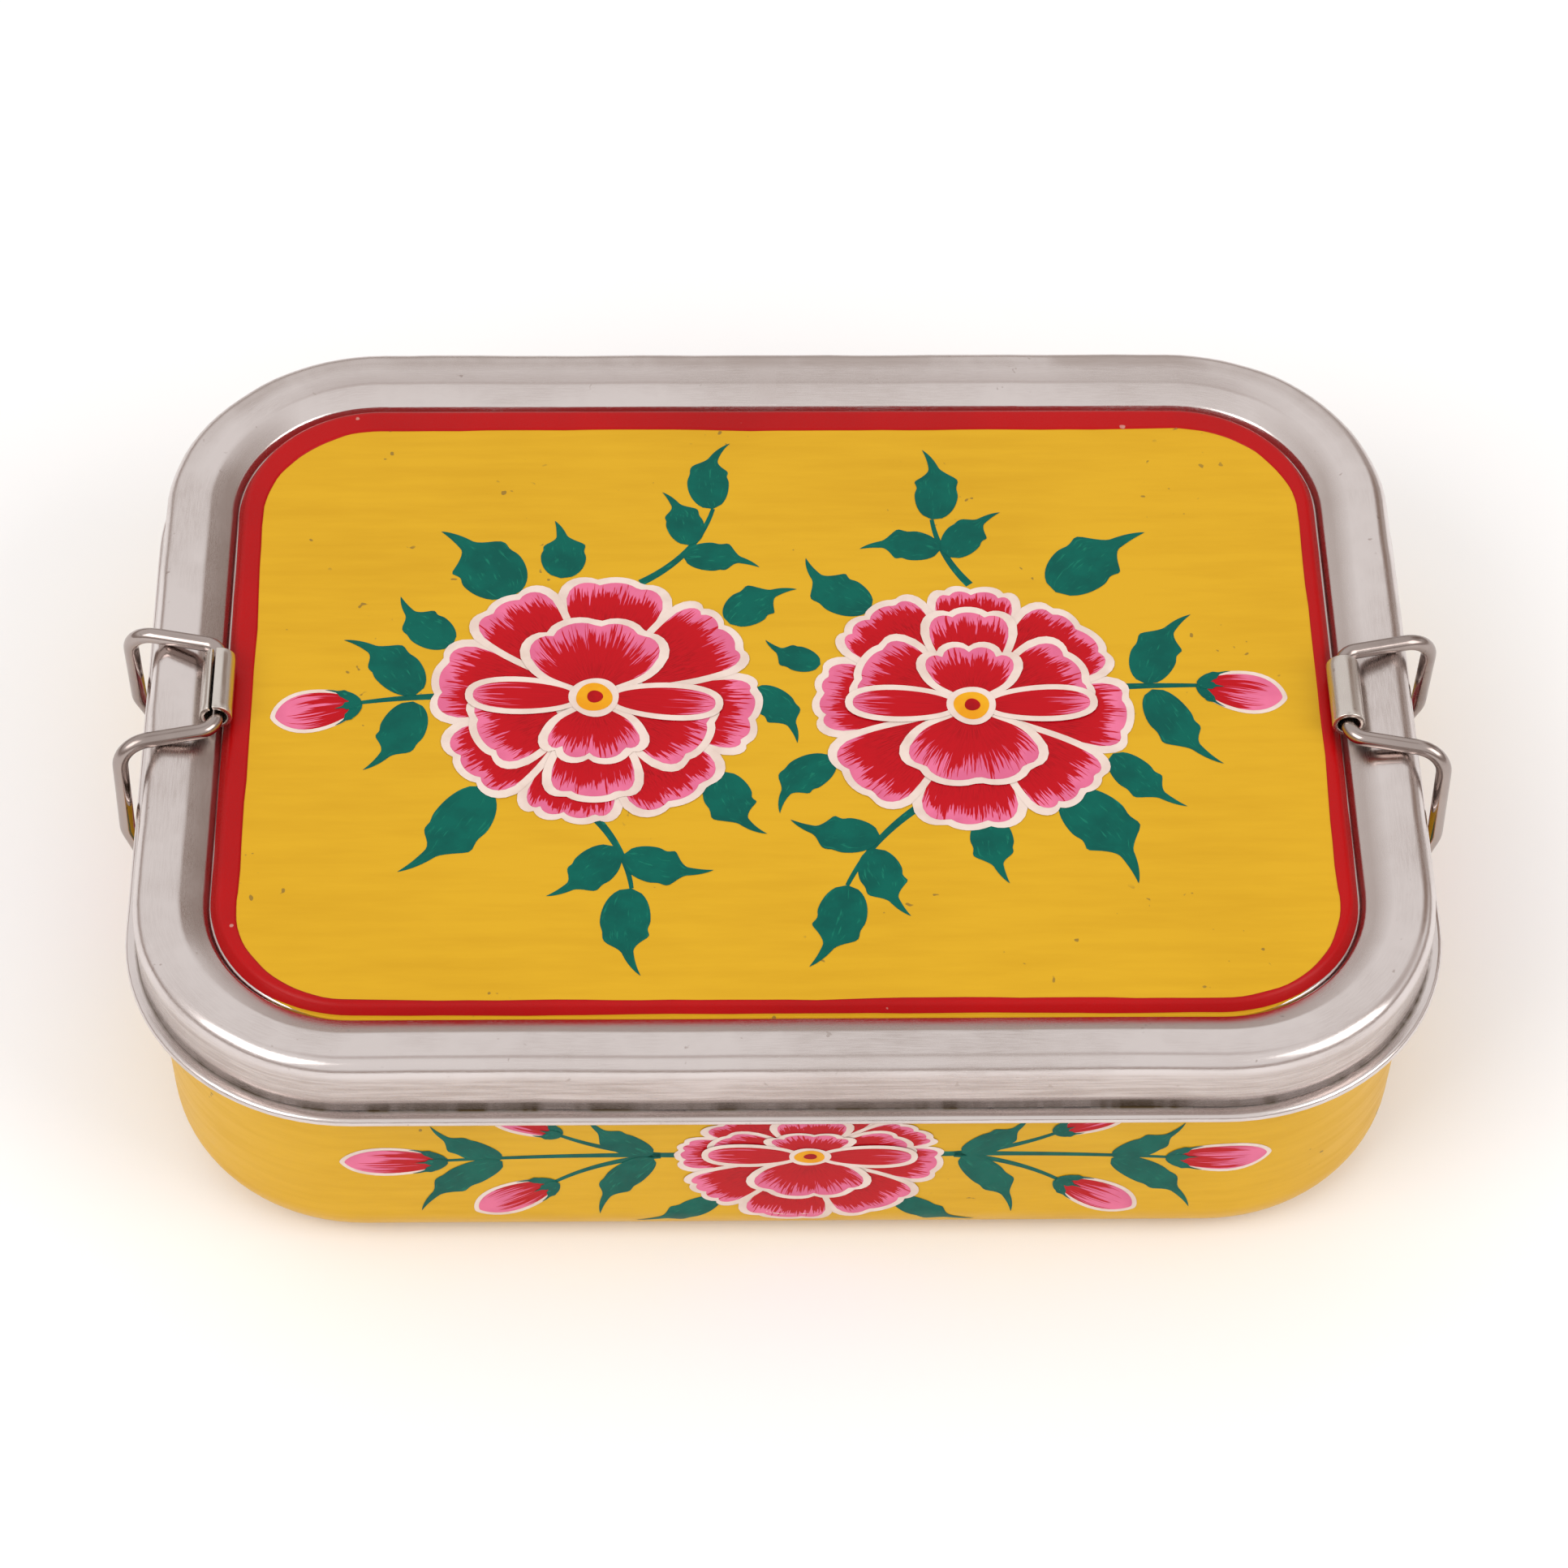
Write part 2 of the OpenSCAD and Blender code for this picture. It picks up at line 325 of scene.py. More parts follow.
class Track:
    """A section's path, measured along its length, on which a coat's points can slide."""

    def __init__(self, path: list[Vector], sizes: BoxSizes) -> None:
        """Measures the path.

        Args:
            path: Section as (rho, z) points.
            sizes: Plan of the box.
        """
        self.path, self.sizes = path, sizes
        self.runs = [0.0]
        for a, b in zip(path, path[1:]):
            self.runs.append(self.runs[-1] + (b - a).length)
        self.length = self.runs[-1]

    def at_rho(self, rho: float) -> float:
        """Distance along the path of its first point at or past a distance out."""
        return next(run for p, run in zip(self.path, self.runs) if p.x >= rho)

    def point(self, run: float) -> Vector:
        """Point at a distance along the path."""
        run = max(0.0, min(self.length, run))
        k = max(1, next(i for i, r in enumerate(self.runs) if r >= run))
        share = (run - self.runs[k - 1]) / (self.runs[k] - self.runs[k - 1])
        return self.path[k - 1].lerp(self.path[k], share)

    def slide(self, piece: Piece, how: Callable[[float, Vector, float], float]) -> None:
        """Moves a swept piece's points along the path.

        Args:
            piece: Piece whose points lie on the path.
            how: Distance to move by, for the place round the box, the way out and the place on the path.
        """
        cx, cy = self.sizes.corner_x, self.sizes.corner_y
        for vert in piece.data.vertices:
            spot = Vector((vert.co.x, vert.co.y)) / MM
            anchor = Vector((max(-cx, min(cx, spot.x)), max(-cy, min(cy, spot.y))))
            out = spot - anchor
            if out.length < self.path[0].x / 2:
                continue  # the sheet's middle stays where it is
            here = Vector((out.length, vert.co.z / MM))
            k = min(range(len(self.path)), key=lambda i: (self.path[i] - here).length_squared)
            along, _ = around_of(vert.co, self.sizes)
            out.normalize()
            place = self.point(self.runs[k] + how(along, out, self.runs[k]))
            vert.co = Vector((*(anchor + out * place.x), place.y)) * MM


def face_up(bm: bmesh.types.BMesh, probe: Callable[[Vector], Vector]) -> None:
    """Turns an open sheet so that its faces point the way the probe says.

    Args:
        bm: Mesh to turn.
        probe: Outward direction at a face's centre.
    """
    bmesh.ops.recalc_face_normals(bm, faces=bm.faces)
    bm.normal_update()
    facing = [math.copysign(f.calc_area(), f.normal.dot(probe(f.calc_center_median()))) for f in bm.faces]
    if sum(facing) < 0:
        bmesh.ops.reverse_faces(bm, faces=bm.faces)


def to_object(
    bm: bmesh.types.BMesh, name: str, material: bpy.types.Material, smooth: float = 35.0
) -> Piece:
    """Makes an object of a mesh, smooth except at sharp edges.

    Args:
        bm: Finished mesh; it is freed.
        name: Name of the piece.
        material: Its finish.
        smooth: Edges that turn by more than this many degrees stay sharp.

    Returns:
        The new object.
    """
    mesh = bpy.data.meshes.new(name)
    bm.to_mesh(mesh)
    bm.free()
    mesh.materials.append(material)
    piece = bpy.data.objects.new(name, mesh)
    bpy.context.scene.collection.objects.link(piece)
    mesh.shade_smooth()
    mesh.set_sharp_from_angle(angle=math.radians(smooth))
    return piece


def mark_around(piece: Piece, sizes: BoxSizes) -> None:
    """Stores each point's place round the box, for finishes that follow the pressing.

    Args:
        piece: Object to mark.
        sizes: Plan of the box.
    """
    mesh = piece.data
    layer = mesh.attributes.new("around", "FLOAT_VECTOR", "POINT")
    for vert in mesh.vertices:
        along, rho = around_of(vert.co, sizes)
        layer.data[vert.index].vector = Vector((along, rho, vert.co.z / MM)) / AROUND_UNIT


def thicken(piece: Piece, thickness: float) -> None:
    """Gives a sheet its thickness, on the side away from its faces.

    Args:
        piece: Object with an open sheet.
        thickness: Thickness in millimetres.
    """
    solid = piece.modifiers.new("sheet", "SOLIDIFY")
    solid.thickness = thickness * MM
    solid.offset = -1.0
    solid.use_even_offset = True


def soften(piece: Piece, width: float) -> None:
    """Rounds the cut edges of a thickened strip.

    Args:
        piece: Strip that already has its thickness.
        width: Width of the rounding, in millimetres.
    """
    edge = piece.modifiers.new("edge", "BEVEL")
    edge.width = width * MM
    edge.segments = 2


def pull_out(
    bm: bmesh.types.BMesh, edges: list[bmesh.types.BMEdge]
) -> tuple[list[bmesh.types.BMVert], list[bmesh.types.BMEdge]]:
    """Extrudes edges, and finds the points and edges of the new end.

    Args:
        bm: Mesh to work in.
        edges: Edges to extrude.

    Returns:
        The new end's points, not yet moved, and its edges.
    """
    made = bmesh.ops.extrude_edge_only(bm, edges=edges)["geom"]
    verts = [g for g in made if isinstance(g, bmesh.types.BMVert)]
    return verts, [g for g in made if isinstance(g, bmesh.types.BMEdge) and all(v in verts for v in g.verts)]


# ---------------------------------------------------------------------------
# Finishes
# ---------------------------------------------------------------------------


class NodeKit:
    """A node tree under construction, with short names for the nodes that are used often."""

    # Slots of a Mix node that mixes colours.
    MIX_FACTOR, MIX_FIRST, MIX_SECOND, MIX_RESULT = 0, 6, 7, 2

    def __init__(self, tree: bpy.types.NodeTree) -> None:
        """Takes the tree to build in."""
        self.tree = tree

    def node(self, kind: str, **values: object) -> bpy.types.Node:
        """Adds a node and sets its properties or inputs.

        Args:
            kind: Name of the node's type.
            **values: Property values, or input values by their name with spaces as underscores.

        Returns:
            The new node.
        """
        made = self.tree.nodes.new(kind)
        for key, value in values.items():
            if hasattr(made, key):
                setattr(made, key, value)
            else:
                made.inputs[key.replace("_", " ")].default_value = value
        return made

    def link(self, source: Socket, target: Socket) -> None:
        """Joins two sockets."""
        self.tree.links.new(source, target)

    def place(self, scale: Triple, attribute: str = "") -> Socket:
        """Coordinates of the surface, stretched.

        Args:
            scale: Stretch along each axis.
            attribute: Attribute or UV map to read; Object coordinates if empty.

        Returns:
            The socket with the stretched coordinates.
        """
        if attribute == "uv":
            source = self.node("ShaderNodeTexCoord").outputs["UV"]
        elif attribute:
            source = self.node("ShaderNodeAttribute", attribute_name=attribute).outputs["Vector"]
        else:
            source = self.node("ShaderNodeTexCoord").outputs["Object"]
        mapping = self.node("ShaderNodeMapping", Scale=scale)
        self.link(source, mapping.inputs["Vector"])
        return mapping.outputs["Vector"]

    def noise(self, where: Socket, scale: float, detail: float = 3.0, rough: float = 0.55) -> Socket:
        """Noise at a place.

        Args:
            where: Coordinates.
            scale: Size of the grain; larger is finer.
            detail: Number of finer layers.
            rough: Strength of the finer layers.

        Returns:
            The noise, about 0.3 to 0.7.
        """
        made = self.node("ShaderNodeTexNoise", Scale=scale, Detail=detail, Roughness=rough)
        self.link(where, made.inputs["Vector"])
        return made.outputs["Fac"]

    def ramp(
        self, source: Socket, low: float, high: float, start: float = 0.0, end: float = 1.0
    ) -> Socket:
        """Maps a value from one range to another, clamped.

        Args:
            source: Value to map.
            low: Value that gives start.
            high: Value that gives end.
            start: Result at low.
            end: Result at high.

        Returns:
            The mapped value.
        """
        made = self.node("ShaderNodeMapRange")
        for key, value in zip(("From Min", "From Max", "To Min", "To Max"), (low, high, start, end)):
            made.inputs[key].default_value = value
        self.link(source, made.inputs["Value"])
        return made.outputs["Result"]

    def maths(self, how: str, *values: object) -> Socket:
        """Sum, product or other arithmetic of sockets and numbers.

        Args:
            how: Operation name.
            *values: Sockets or numbers.

        Returns:
            The result.
        """
        made = self.node("ShaderNodeMath", operation=how)
        for k, value in enumerate(values):
            if isinstance(value, (int, float)):
                made.inputs[k].default_value = value
            else:
                self.link(value, made.inputs[k])
        return made.outputs["Value"]

    def times(self, first: object, *others: object) -> Socket:
        """Product of sockets and numbers, the first of them a socket."""
        for other in others:
            first = self.maths("MULTIPLY", first, other)
        return first

    def axes(self, source: Socket) -> tuple[Socket, ...]:
        """The X, Y and Z of coordinates."""
        split = self.node("ShaderNodeSeparateXYZ")
        self.link(source, split.inputs["Vector"])
        return tuple(split.outputs)

    def mix(self, factor: Socket, first: object, second: object) -> Socket:
        """Mixes two colours, each a socket or a colour.

        Args:
            factor: Share of the second.
            first: Colour at 0.
            second: Colour at 1.

        Returns:
            The mixed colour.
        """
        made = self.tree.nodes.new("ShaderNodeMix")
        made.data_type = "RGBA"
        self.link(factor, made.inputs[self.MIX_FACTOR])
        for slot, value in ((self.MIX_FIRST, first), (self.MIX_SECOND, second)):
            if isinstance(value, tuple):
                made.inputs[slot].default_value = (*value, 1.0)
            else:
                self.link(value, made.inputs[slot])
        return made.outputs[self.MIX_RESULT]


class Shade(NodeKit):
    """A material with one Principled shader."""

    def __init__(self, name: str) -> None:
        """Starts the material.

        Args:
            name: Name of the finish.
        """
        self.material = bpy.data.materials.new(name)
        self.material.use_nodes = True
        super().__init__(self.material.node_tree)
        self.shader = self.tree.nodes["Principled BSDF"]

    def set(self, **values: object) -> None:
        """Sets constant values on the shader's own sockets."""
        for key, value in values.items():
            self.shader.inputs[key.replace("_", " ")].default_value = value

    def bump(self, height: Socket, strength: float, depth: float) -> None:
        """Raises the surface in the shader.

        Args:
            height: Height from 0 to 1.
            strength: Share of the effect.
            depth: Depth in millimetres.
        """
        made = self.node("ShaderNodeBump", Strength=strength, Distance=depth * MM)
        self.link(height, made.inputs["Height"])
        self.link(made.outputs["Normal"], self.shader.inputs["Normal"])


@dataclass(frozen=True)
class LidShadeScuffs:
    """Where the lid gets painted shade, standing in for dark reflections and the sleeves' shadow, broken up
    by scuff noise; each pair is where it starts and where it is full, in millimetres.
    """

    end_x: Pair = (70.0, 80.0)
    end_ring: Pair = (24.6, 22.2)
    back_y: Pair = (35.0, 58.0)
    back_ring: Pair = (26.2, 27.6)
    skirt_z: Pair = (44.1, 42.9)
    skirt_ring: Pair = (27.0, 30.0)
    waver: float = 0.2
    ring_share: float = 0.8
    ring_rough: float = 0.16
    skirt_rough: float = 0.12


@dataclass(frozen=True)
class GapShadeGrime:
    """Painted shade, with some grime, in the narrow gap between the rim and the skirt; pairs as for the
    lid's painted shade.
    """

    ring: Pair = (31.0, 30.4)
    over_rim: Pair = (35.5, 36.2)
    under_skirt: Pair = (37.8, 36.8)
    tone: Triple = (0.10, 0.062, 0.022)
    rough: float = 0.4
    cover: float = 0.8


@dataclass(frozen=True)
class Steel:
    """Bright stainless sheet or wire, worn and scratched, with painted shade where it is given."""

    name: str
    tone: Triple = (0.70, 0.635, 0.615)
    # Darker tone of worn steel, also used for the lid's painted shade.
    dull_and_shade: Triple = (0.44, 0.37, 0.34)
    smooth: float = 0.14
    rough: float = 0.34
    attribute: str = ""
    streak: Triple = (1.0, 1.0, 1.0)
    speck_scale: float = 520.0
    # Painted shade on the lid's ring and skirt, standing in for dark reflections and shadow.
    lid_shade: LidShadeScuffs | None = None
    # Painted shade, with some grime, in the gap between the rim and the skirt.
    gap_shade: GapShadeGrime | None = None

    def make(self) -> bpy.types.Material:
        """Builds the material.

        Returns:
            The finished material.
        """
        surface = SteelSurface(self)
        if self.lid_shade:
            surface.add_lid_shade(self.lid_shade)
        if self.gap_shade:
            surface.add_gap_shade(self.gap_shade)
        return surface.close()


class SteelSurface(Shade):
    """A steel finish under construction: its grain, and its colour and roughness so far."""

    def __init__(self, steel: Steel) -> None:
        """Lays the steel with its worn patches, specks and scratches.

        Args:
            steel: The finish to build.
        """
        super().__init__(steel.name)
        self.set(Metallic=1.0)
        self.steel = steel
        self.body = self.place((1.0, 1.0, 1.0))
        self.along = self.place(steel.streak, steel.attribute)
        self.patches = self.ramp(self.noise(self.body, 38.0, 4.0, 0.6), 0.42, 0.66)
        self.lines = self.noise(self.along, 90.0, 4.0, 0.65)
        self.fine = self.noise(self.along, 340.0, 2.0, 0.6)
        worn = self.times(self.patches, self.ramp(self.lines, 0.40, 0.60, 0.35, 1.0))
        specks = self.ramp(self.noise(self.body, steel.speck_scale, 2.0, 0.7), 0.70, 0.76)
        scratches = self.times(self.ramp(self.lines, 0.60, 0.68), self.patches)
        shade = self.maths("MAXIMUM", self.times(worn, 0.55), self.times(specks, 0.8))
        shade = self.maths("MAXIMUM", shade, self.times(scratches, 0.7))
        grain = self.ramp(self.fine, 0.35, 0.65, -0.05, 0.06)
        self.rough = self.maths("ADD", self.ramp(worn, 0.0, 1.0, steel.smooth, steel.rough), grain)
        self.colour = self.mix(shade, steel.tone, steel.dull_and_shade)

    def fade(self, source: Socket, ends: Pair, unit: float) -> Socket:
        """Rises from 0 to 1 between two places.

        Args:
            source: Coordinate.
            ends: Places where it is 0 and 1, in millimetres.
            unit: Millimetres in one unit of the coordinate.

        Returns:
            The share.
        """
        return self.ramp(source, ends[0] / unit, ends[1] / unit)

    def roughen(self, share: Socket, amount: float) -> None:
        """Adds to the roughness where the share is above 0."""
        self.rough = self.maths("ADD", self.rough, self.times(share, amount))

    def add_lid_shade(self, lid_shade: LidShadeScuffs) -> None:
        """Paints shade on the ring's fold at the ends, on a band of the ring at the back and on the lower
        skirt: painted dark reflections and shadow, with scuff noise on the skirt.

        Args:
            lid_shade: Where the lid gets painted shade.
        """
        _, ring, height = self.axes(self.place((1.0, 1.0, 1.0), "around"))
        x, y, _ = self.axes(self.body)
        spread = lid_shade.waver / AROUND_UNIT
        uneven = self.maths("ADD", ring, self.ramp(self.lines, 0.3, 0.7, -spread, spread))
        # Painted shade: darkens the ring's fold at the ends, beside the sleeves, and a band at the back,
        # like shadow and dark reflections.
        ends = self.fade(self.maths("ABSOLUTE", x), lid_shade.end_x, 1 / MM)
        fold = self.times(self.fade(uneven, lid_shade.end_ring, AROUND_UNIT), ends)
        band = self.times(
            self.fade(uneven, lid_shade.back_ring, AROUND_UNIT), self.ramp(self.patches, 0.0, 0.6, 0.45, 0.9)
        )
        fold = self.maths("MAXIMUM", fold, self.times(self.fade(y, lid_shade.back_y, 1 / MM), band))
        self.roughen(fold, lid_shade.ring_rough)
        self.colour = self.mix(self.times(fold, lid_shade.ring_share), self.colour, self.steel.dull_and_shade)
        # Painted shade: the skirt is darker towards the bottom, in patches, like dark reflections.
        skirt_patches = self.ramp(self.noise(self.along, 22.0, 4.0, 0.7), 0.38, 0.62, 0.25, 0.85)
        skirt = self.times(self.fade(height, lid_shade.skirt_z, AROUND_UNIT), skirt_patches)
        skirt = self.times(skirt, self.fade(ring, lid_shade.skirt_ring, AROUND_UNIT))
        self.roughen(skirt, lid_shade.skirt_rough)
        self.colour = self.mix(skirt, self.colour, self.steel.dull_and_shade)

    def add_gap_shade(self, gap_shade: GapShadeGrime) -> None:
        """Paints patchy dark shade, with some grime, which isn't metal, in the gap over the rim.

        Args:
            gap_shade: Where the painted shade lies.
        """
        _, ring, height = self.axes(self.place((1.0, 1.0, 1.0), "around"))
        patchy = self.ramp(self.noise(self.body, 130.0, 3.0, 0.7), 0.42, 0.56, 0.25, 1.0)
        over_rim = self.fade(height, gap_shade.over_rim, AROUND_UNIT)
        gap = self.times(over_rim, self.fade(height, gap_shade.under_skirt, AROUND_UNIT))
        # Painted shade: darkens the steel in the gap between the rim and the skirt, where shade falls.
        gap_shaded = self.times(self.fade(ring, gap_shade.ring, AROUND_UNIT), patchy, gap)
        self.roughen(gap_shaded, gap_shade.rough)
        self.colour = self.mix(gap_shaded, self.colour, gap_shade.tone)
        metal = self.maths("SUBTRACT", 1.0, self.times(gap_shaded, gap_shade.cover))
        self.link(metal, self.shader.inputs["Metallic"])

    def close(self) -> bpy.types.Material:
        """Joins the colour, the roughness and the grain to the shader.

        Returns:
            The finished material.
        """
        self.link(self.colour, self.shader.inputs["Base Color"])
        self.link(self.rough, self.shader.inputs["Roughness"])
        self.bump(self.maths("ADD", self.times(self.lines, 0.5), self.times(self.fine, 0.3)), 0.35, 0.035)
        return self.material


@dataclass(frozen=True)
class Enamel:
    """Brushed-on gloss paint with faint strokes, dust and small chips."""

    name: str
    tone: Triple
    shade: Triple
    dirt: Triple = (0.16, 0.10, 0.03)
    rough: float = 0.34
    stroke: Triple = (0.12, 1.0, 1.0)
    speck_low: float = 0.735
    attribute: str = ""

    def make(self) -> bpy.types.Material:
        """Builds the material.

        Returns:
            The finished material.
        """
        s = Shade(self.name)
        s.set(Specular_IOR_Level=0.16)
        body = s.place((1.0, 1.0, 1.0))
        along = s.place(self.stroke, self.attribute)
        clouds = s.ramp(s.noise(body, 30.0, 3.0), 0.36, 0.66)
        strokes = s.noise(along, 420.0, 4.0, 0.6)
        weave = s.noise(body, 900.0, 2.0, 0.6)
        tint = s.maths("ADD", s.times(clouds, 0.55), s.ramp(strokes, 0.35, 0.65, -0.25, 0.45))
        colour = s.mix(s.ramp(tint, 0.0, 1.0), self.tone, self.shade)
        rare = s.ramp(s.noise(body, 60.0, 1.0), 0.56, 0.60)
        dots = s.ramp(s.noise(body, 640.0, 1.0, 0.6), self.speck_low, self.speck_low + 0.03)
        specks = s.times(dots, rare, 0.7)
        s.link(s.mix(specks, colour, self.dirt), s.shader.inputs["Base Color"])
        s.link(s.ramp(strokes, 0.3, 0.7, self.rough - 0.05, self.rough + 0.08), s.shader.inputs["Roughness"])
        s.bump(s.maths("ADD", s.times(strokes, 0.6), s.times(weave, 0.4)), 0.3, 0.05)
        return s.material


@dataclass(frozen=True)
class PetalPaint:
    """Pink petal with a crimson base brushed out in fine points; v runs from the base to the tip."""

    name: str
    pink: Triple = (0.65, 0.130, 0.250)
    crimson: Triple = (0.47, 0.002, 0.008)
    deep: Triple = (0.33, 0.001, 0.005)
    reach: float = 0.76

    def make(self) -> bpy.types.Material:
        """Builds the material.

        Returns:
            The finished material.
        """
        s = Shade(self.name)
        s.set(Roughness=0.36, Specular_IOR_Level=0.14)
        _, height, _ = s.axes(s.node("ShaderNodeTexCoord").outputs["UV"])
        hairs = s.noise(s.place((1.0, 0.05, 1.0), "uv"), 26.0, 2.0, 0.7)
        broad = s.noise(s.place((1.0, 0.04, 1.0), "uv"), 6.0, 1.0, 0.5)
        hairs = s.ramp(hairs, 0.32, 0.68, self.reach - 0.24, self.reach + 0.26)
        edge = s.maths("ADD", hairs, s.ramp(broad, 0.3, 0.7, -0.1, 0.1))
        red = s.ramp(s.maths("SUBTRACT", edge, height), -0.02, 0.05)
        streaks = s.noise(s.place((1.0, 0.08, 1.0), "uv"), 44.0, 2.0, 0.6)
        base = s.mix(s.ramp(streaks, 0.46, 0.62), self.crimson, self.deep)
        base = s.mix(s.ramp(height, 0.05, 0.55), base, self.crimson)
        body = s.noise(s.place((1.0, 1.0, 1.0)), 160.0, 3.0)
        pink = s.mix(s.ramp(body, 0.4, 0.65), self.pink, tuple(min(1.0, c * 1.12 + 0.02) for c in self.pink))
        s.link(s.mix(red, pink, base), s.shader.inputs["Base Color"])
        s.bump(streaks, 0.25, 0.04)
        return s.material


@dataclass(frozen=True)
class BrushPaint:
    """Flat brush paint of one colour, a little uneven."""

    name: str
    tone: Triple
    shade: Triple
    rough: float = 0.38
    light: Triple | None = None

    def make(self) -> bpy.types.Material:
        """Builds the material.

        Returns:
            The finished material.
        """
        s = Shade(self.name)
        s.set(Specular_IOR_Level=0.12)
        body = s.place((1.0, 1.0, 1.0))
        blots = s.ramp(s.noise(body, 210.0, 3.0, 0.6), 0.40, 0.64)
        fine = s.noise(body, 900.0, 2.0)
        colour = s.mix(blots, self.tone, self.shade)
        if self.light:
            strokes = s.noise(s.place((1.0, 0.35, 1.0), "uv"), 16.0, 2.0, 0.6)
            colour = s.mix(s.ramp(strokes, 0.60, 0.70, 0.0, 0.75), colour, self.light)
        s.link(colour, s.shader.inputs["Base Color"])
        s.link(s.ramp(fine, 0.3, 0.7, self.rough - 0.06, self.rough + 0.08), s.shader.inputs["Roughness"])
        s.bump(s.maths("ADD", blots, fine), 0.25, 0.03)
        return s.material


class Finish(Enum):
    """Every finish on the box."""

    # The lid's steel carries painted shade on its ring and skirt.
    LID_STEEL = Steel("lid_steel_worn", attribute="around", streak=(0.35, 9.0, 9.0), lid_shade=LidShadeScuffs())
    # The tray's steel carries painted shade in the gap under the lid's skirt.
    TRAY_STEEL = Steel("tray_steel_worn", attribute="around", streak=(0.3, 6.0, 6.0), gap_shade=GapShadeGrime())
    WIRE = Steel(
        "clip_wire_bright", tone=(0.42, 0.355, 0.33), dull_and_shade=(0.22, 0.17, 0.15), rough=0.28, speck_scale=900.0
    )
    SLEEVE = Steel("sleeve_strip", tone=(0.68, 0.63, 0.58), smooth=0.2, rough=0.38, streak=(6.0, 0.5, 6.0))
    STRAP = Steel("strap_strip", tone=(0.60, 0.55, 0.52), smooth=0.22, rough=0.4, streak=(4.0, 0.5, 4.0))
    YELLOW = Enamel("yellow_enamel_brushed", (0.660, 0.372, 0.013), (0.605, 0.330, 0.010))
    YELLOW_WALL = Enamel(
        "yellow_enamel_wall", (0.68, 0.385, 0.014), (0.62, 0.34, 0.011), stroke=(0.2, 0.2, 1.6)
    )
    RED = Enamel(
        "red_enamel_band",
        (0.46, 0.003, 0.004),
        (0.32, 0.002, 0.003),
        dirt=(0.55, 0.3, 0.25),
        rough=0.28,
        attribute="around",
        stroke=(0.6, 9.0, 9.0),
        speck_low=0.76,
    )
    PETAL = PetalPaint("petal_paint")
    BUD = PetalPaint("bud_paint", reach=0.55)
    CREAM = BrushPaint("cream_line_paint", (0.77, 0.64, 0.57), (0.69, 0.55, 0.48))
    LEAF = BrushPaint(
        "teal_leaf_paint", (0.0, 0.112, 0.082), (0.0, 0.086, 0.066), light=(0.008, 0.19, 0.120)
    )
    ORANGE = BrushPaint("orange_centre_paint", (0.78, 0.38, 0.012), (0.74, 0.30, 0.008))
    DOT = BrushPaint("red_dot_paint", (0.42, 0.003, 0.006), (0.32, 0.002, 0.005))


class Paints:
    """Makes each finish once, when it is first asked for."""

    def __init__(self) -> None:
        """Starts with no material made."""
        self.made: dict[Finish, bpy.types.Material] = {}

    def get(self, finish: Finish) -> bpy.types.Material:
        """The material of a finish."""
        if finish not in self.made:
            self.made[finish] = finish.value.make()
        return self.made[finish]


# ---------------------------------------------------------------------------
# Pressings and paint coats
# ---------------------------------------------------------------------------


@dataclass
class Pressing:
    """A pressed sheet or a coat on one: a section carried round the box."""

    sizes: BoxSizes
    paints: Paints

    def outward(self, centre: Vector) -> Vector:
        """Direction out of the lid at a point: mostly up, and a little away from the middle."""
        return Vector((centre.x, centre.y, 0)).normalized() * 0.2 + UP * 0.8

    def shell(self, name: str, path: list[Vector], finish: Finish, middle: bool) -> Piece:
        """Carries a section round the box and makes a piece of it.

        Args:
            name: Name of the piece.
            path: Section as (rho, z) points.
            finish: Its finish.
            middle: Whether the sheet runs across the middle.

        Returns:
            The new piece.
        """
        bm = bmesh.new()
        sweep_round(bm, path, self.sizes)
        if middle:
            fill_middles(bm, self.sizes)
        face_up(bm, self.outward)
        return to_object(bm, name, self.paints.get(finish))


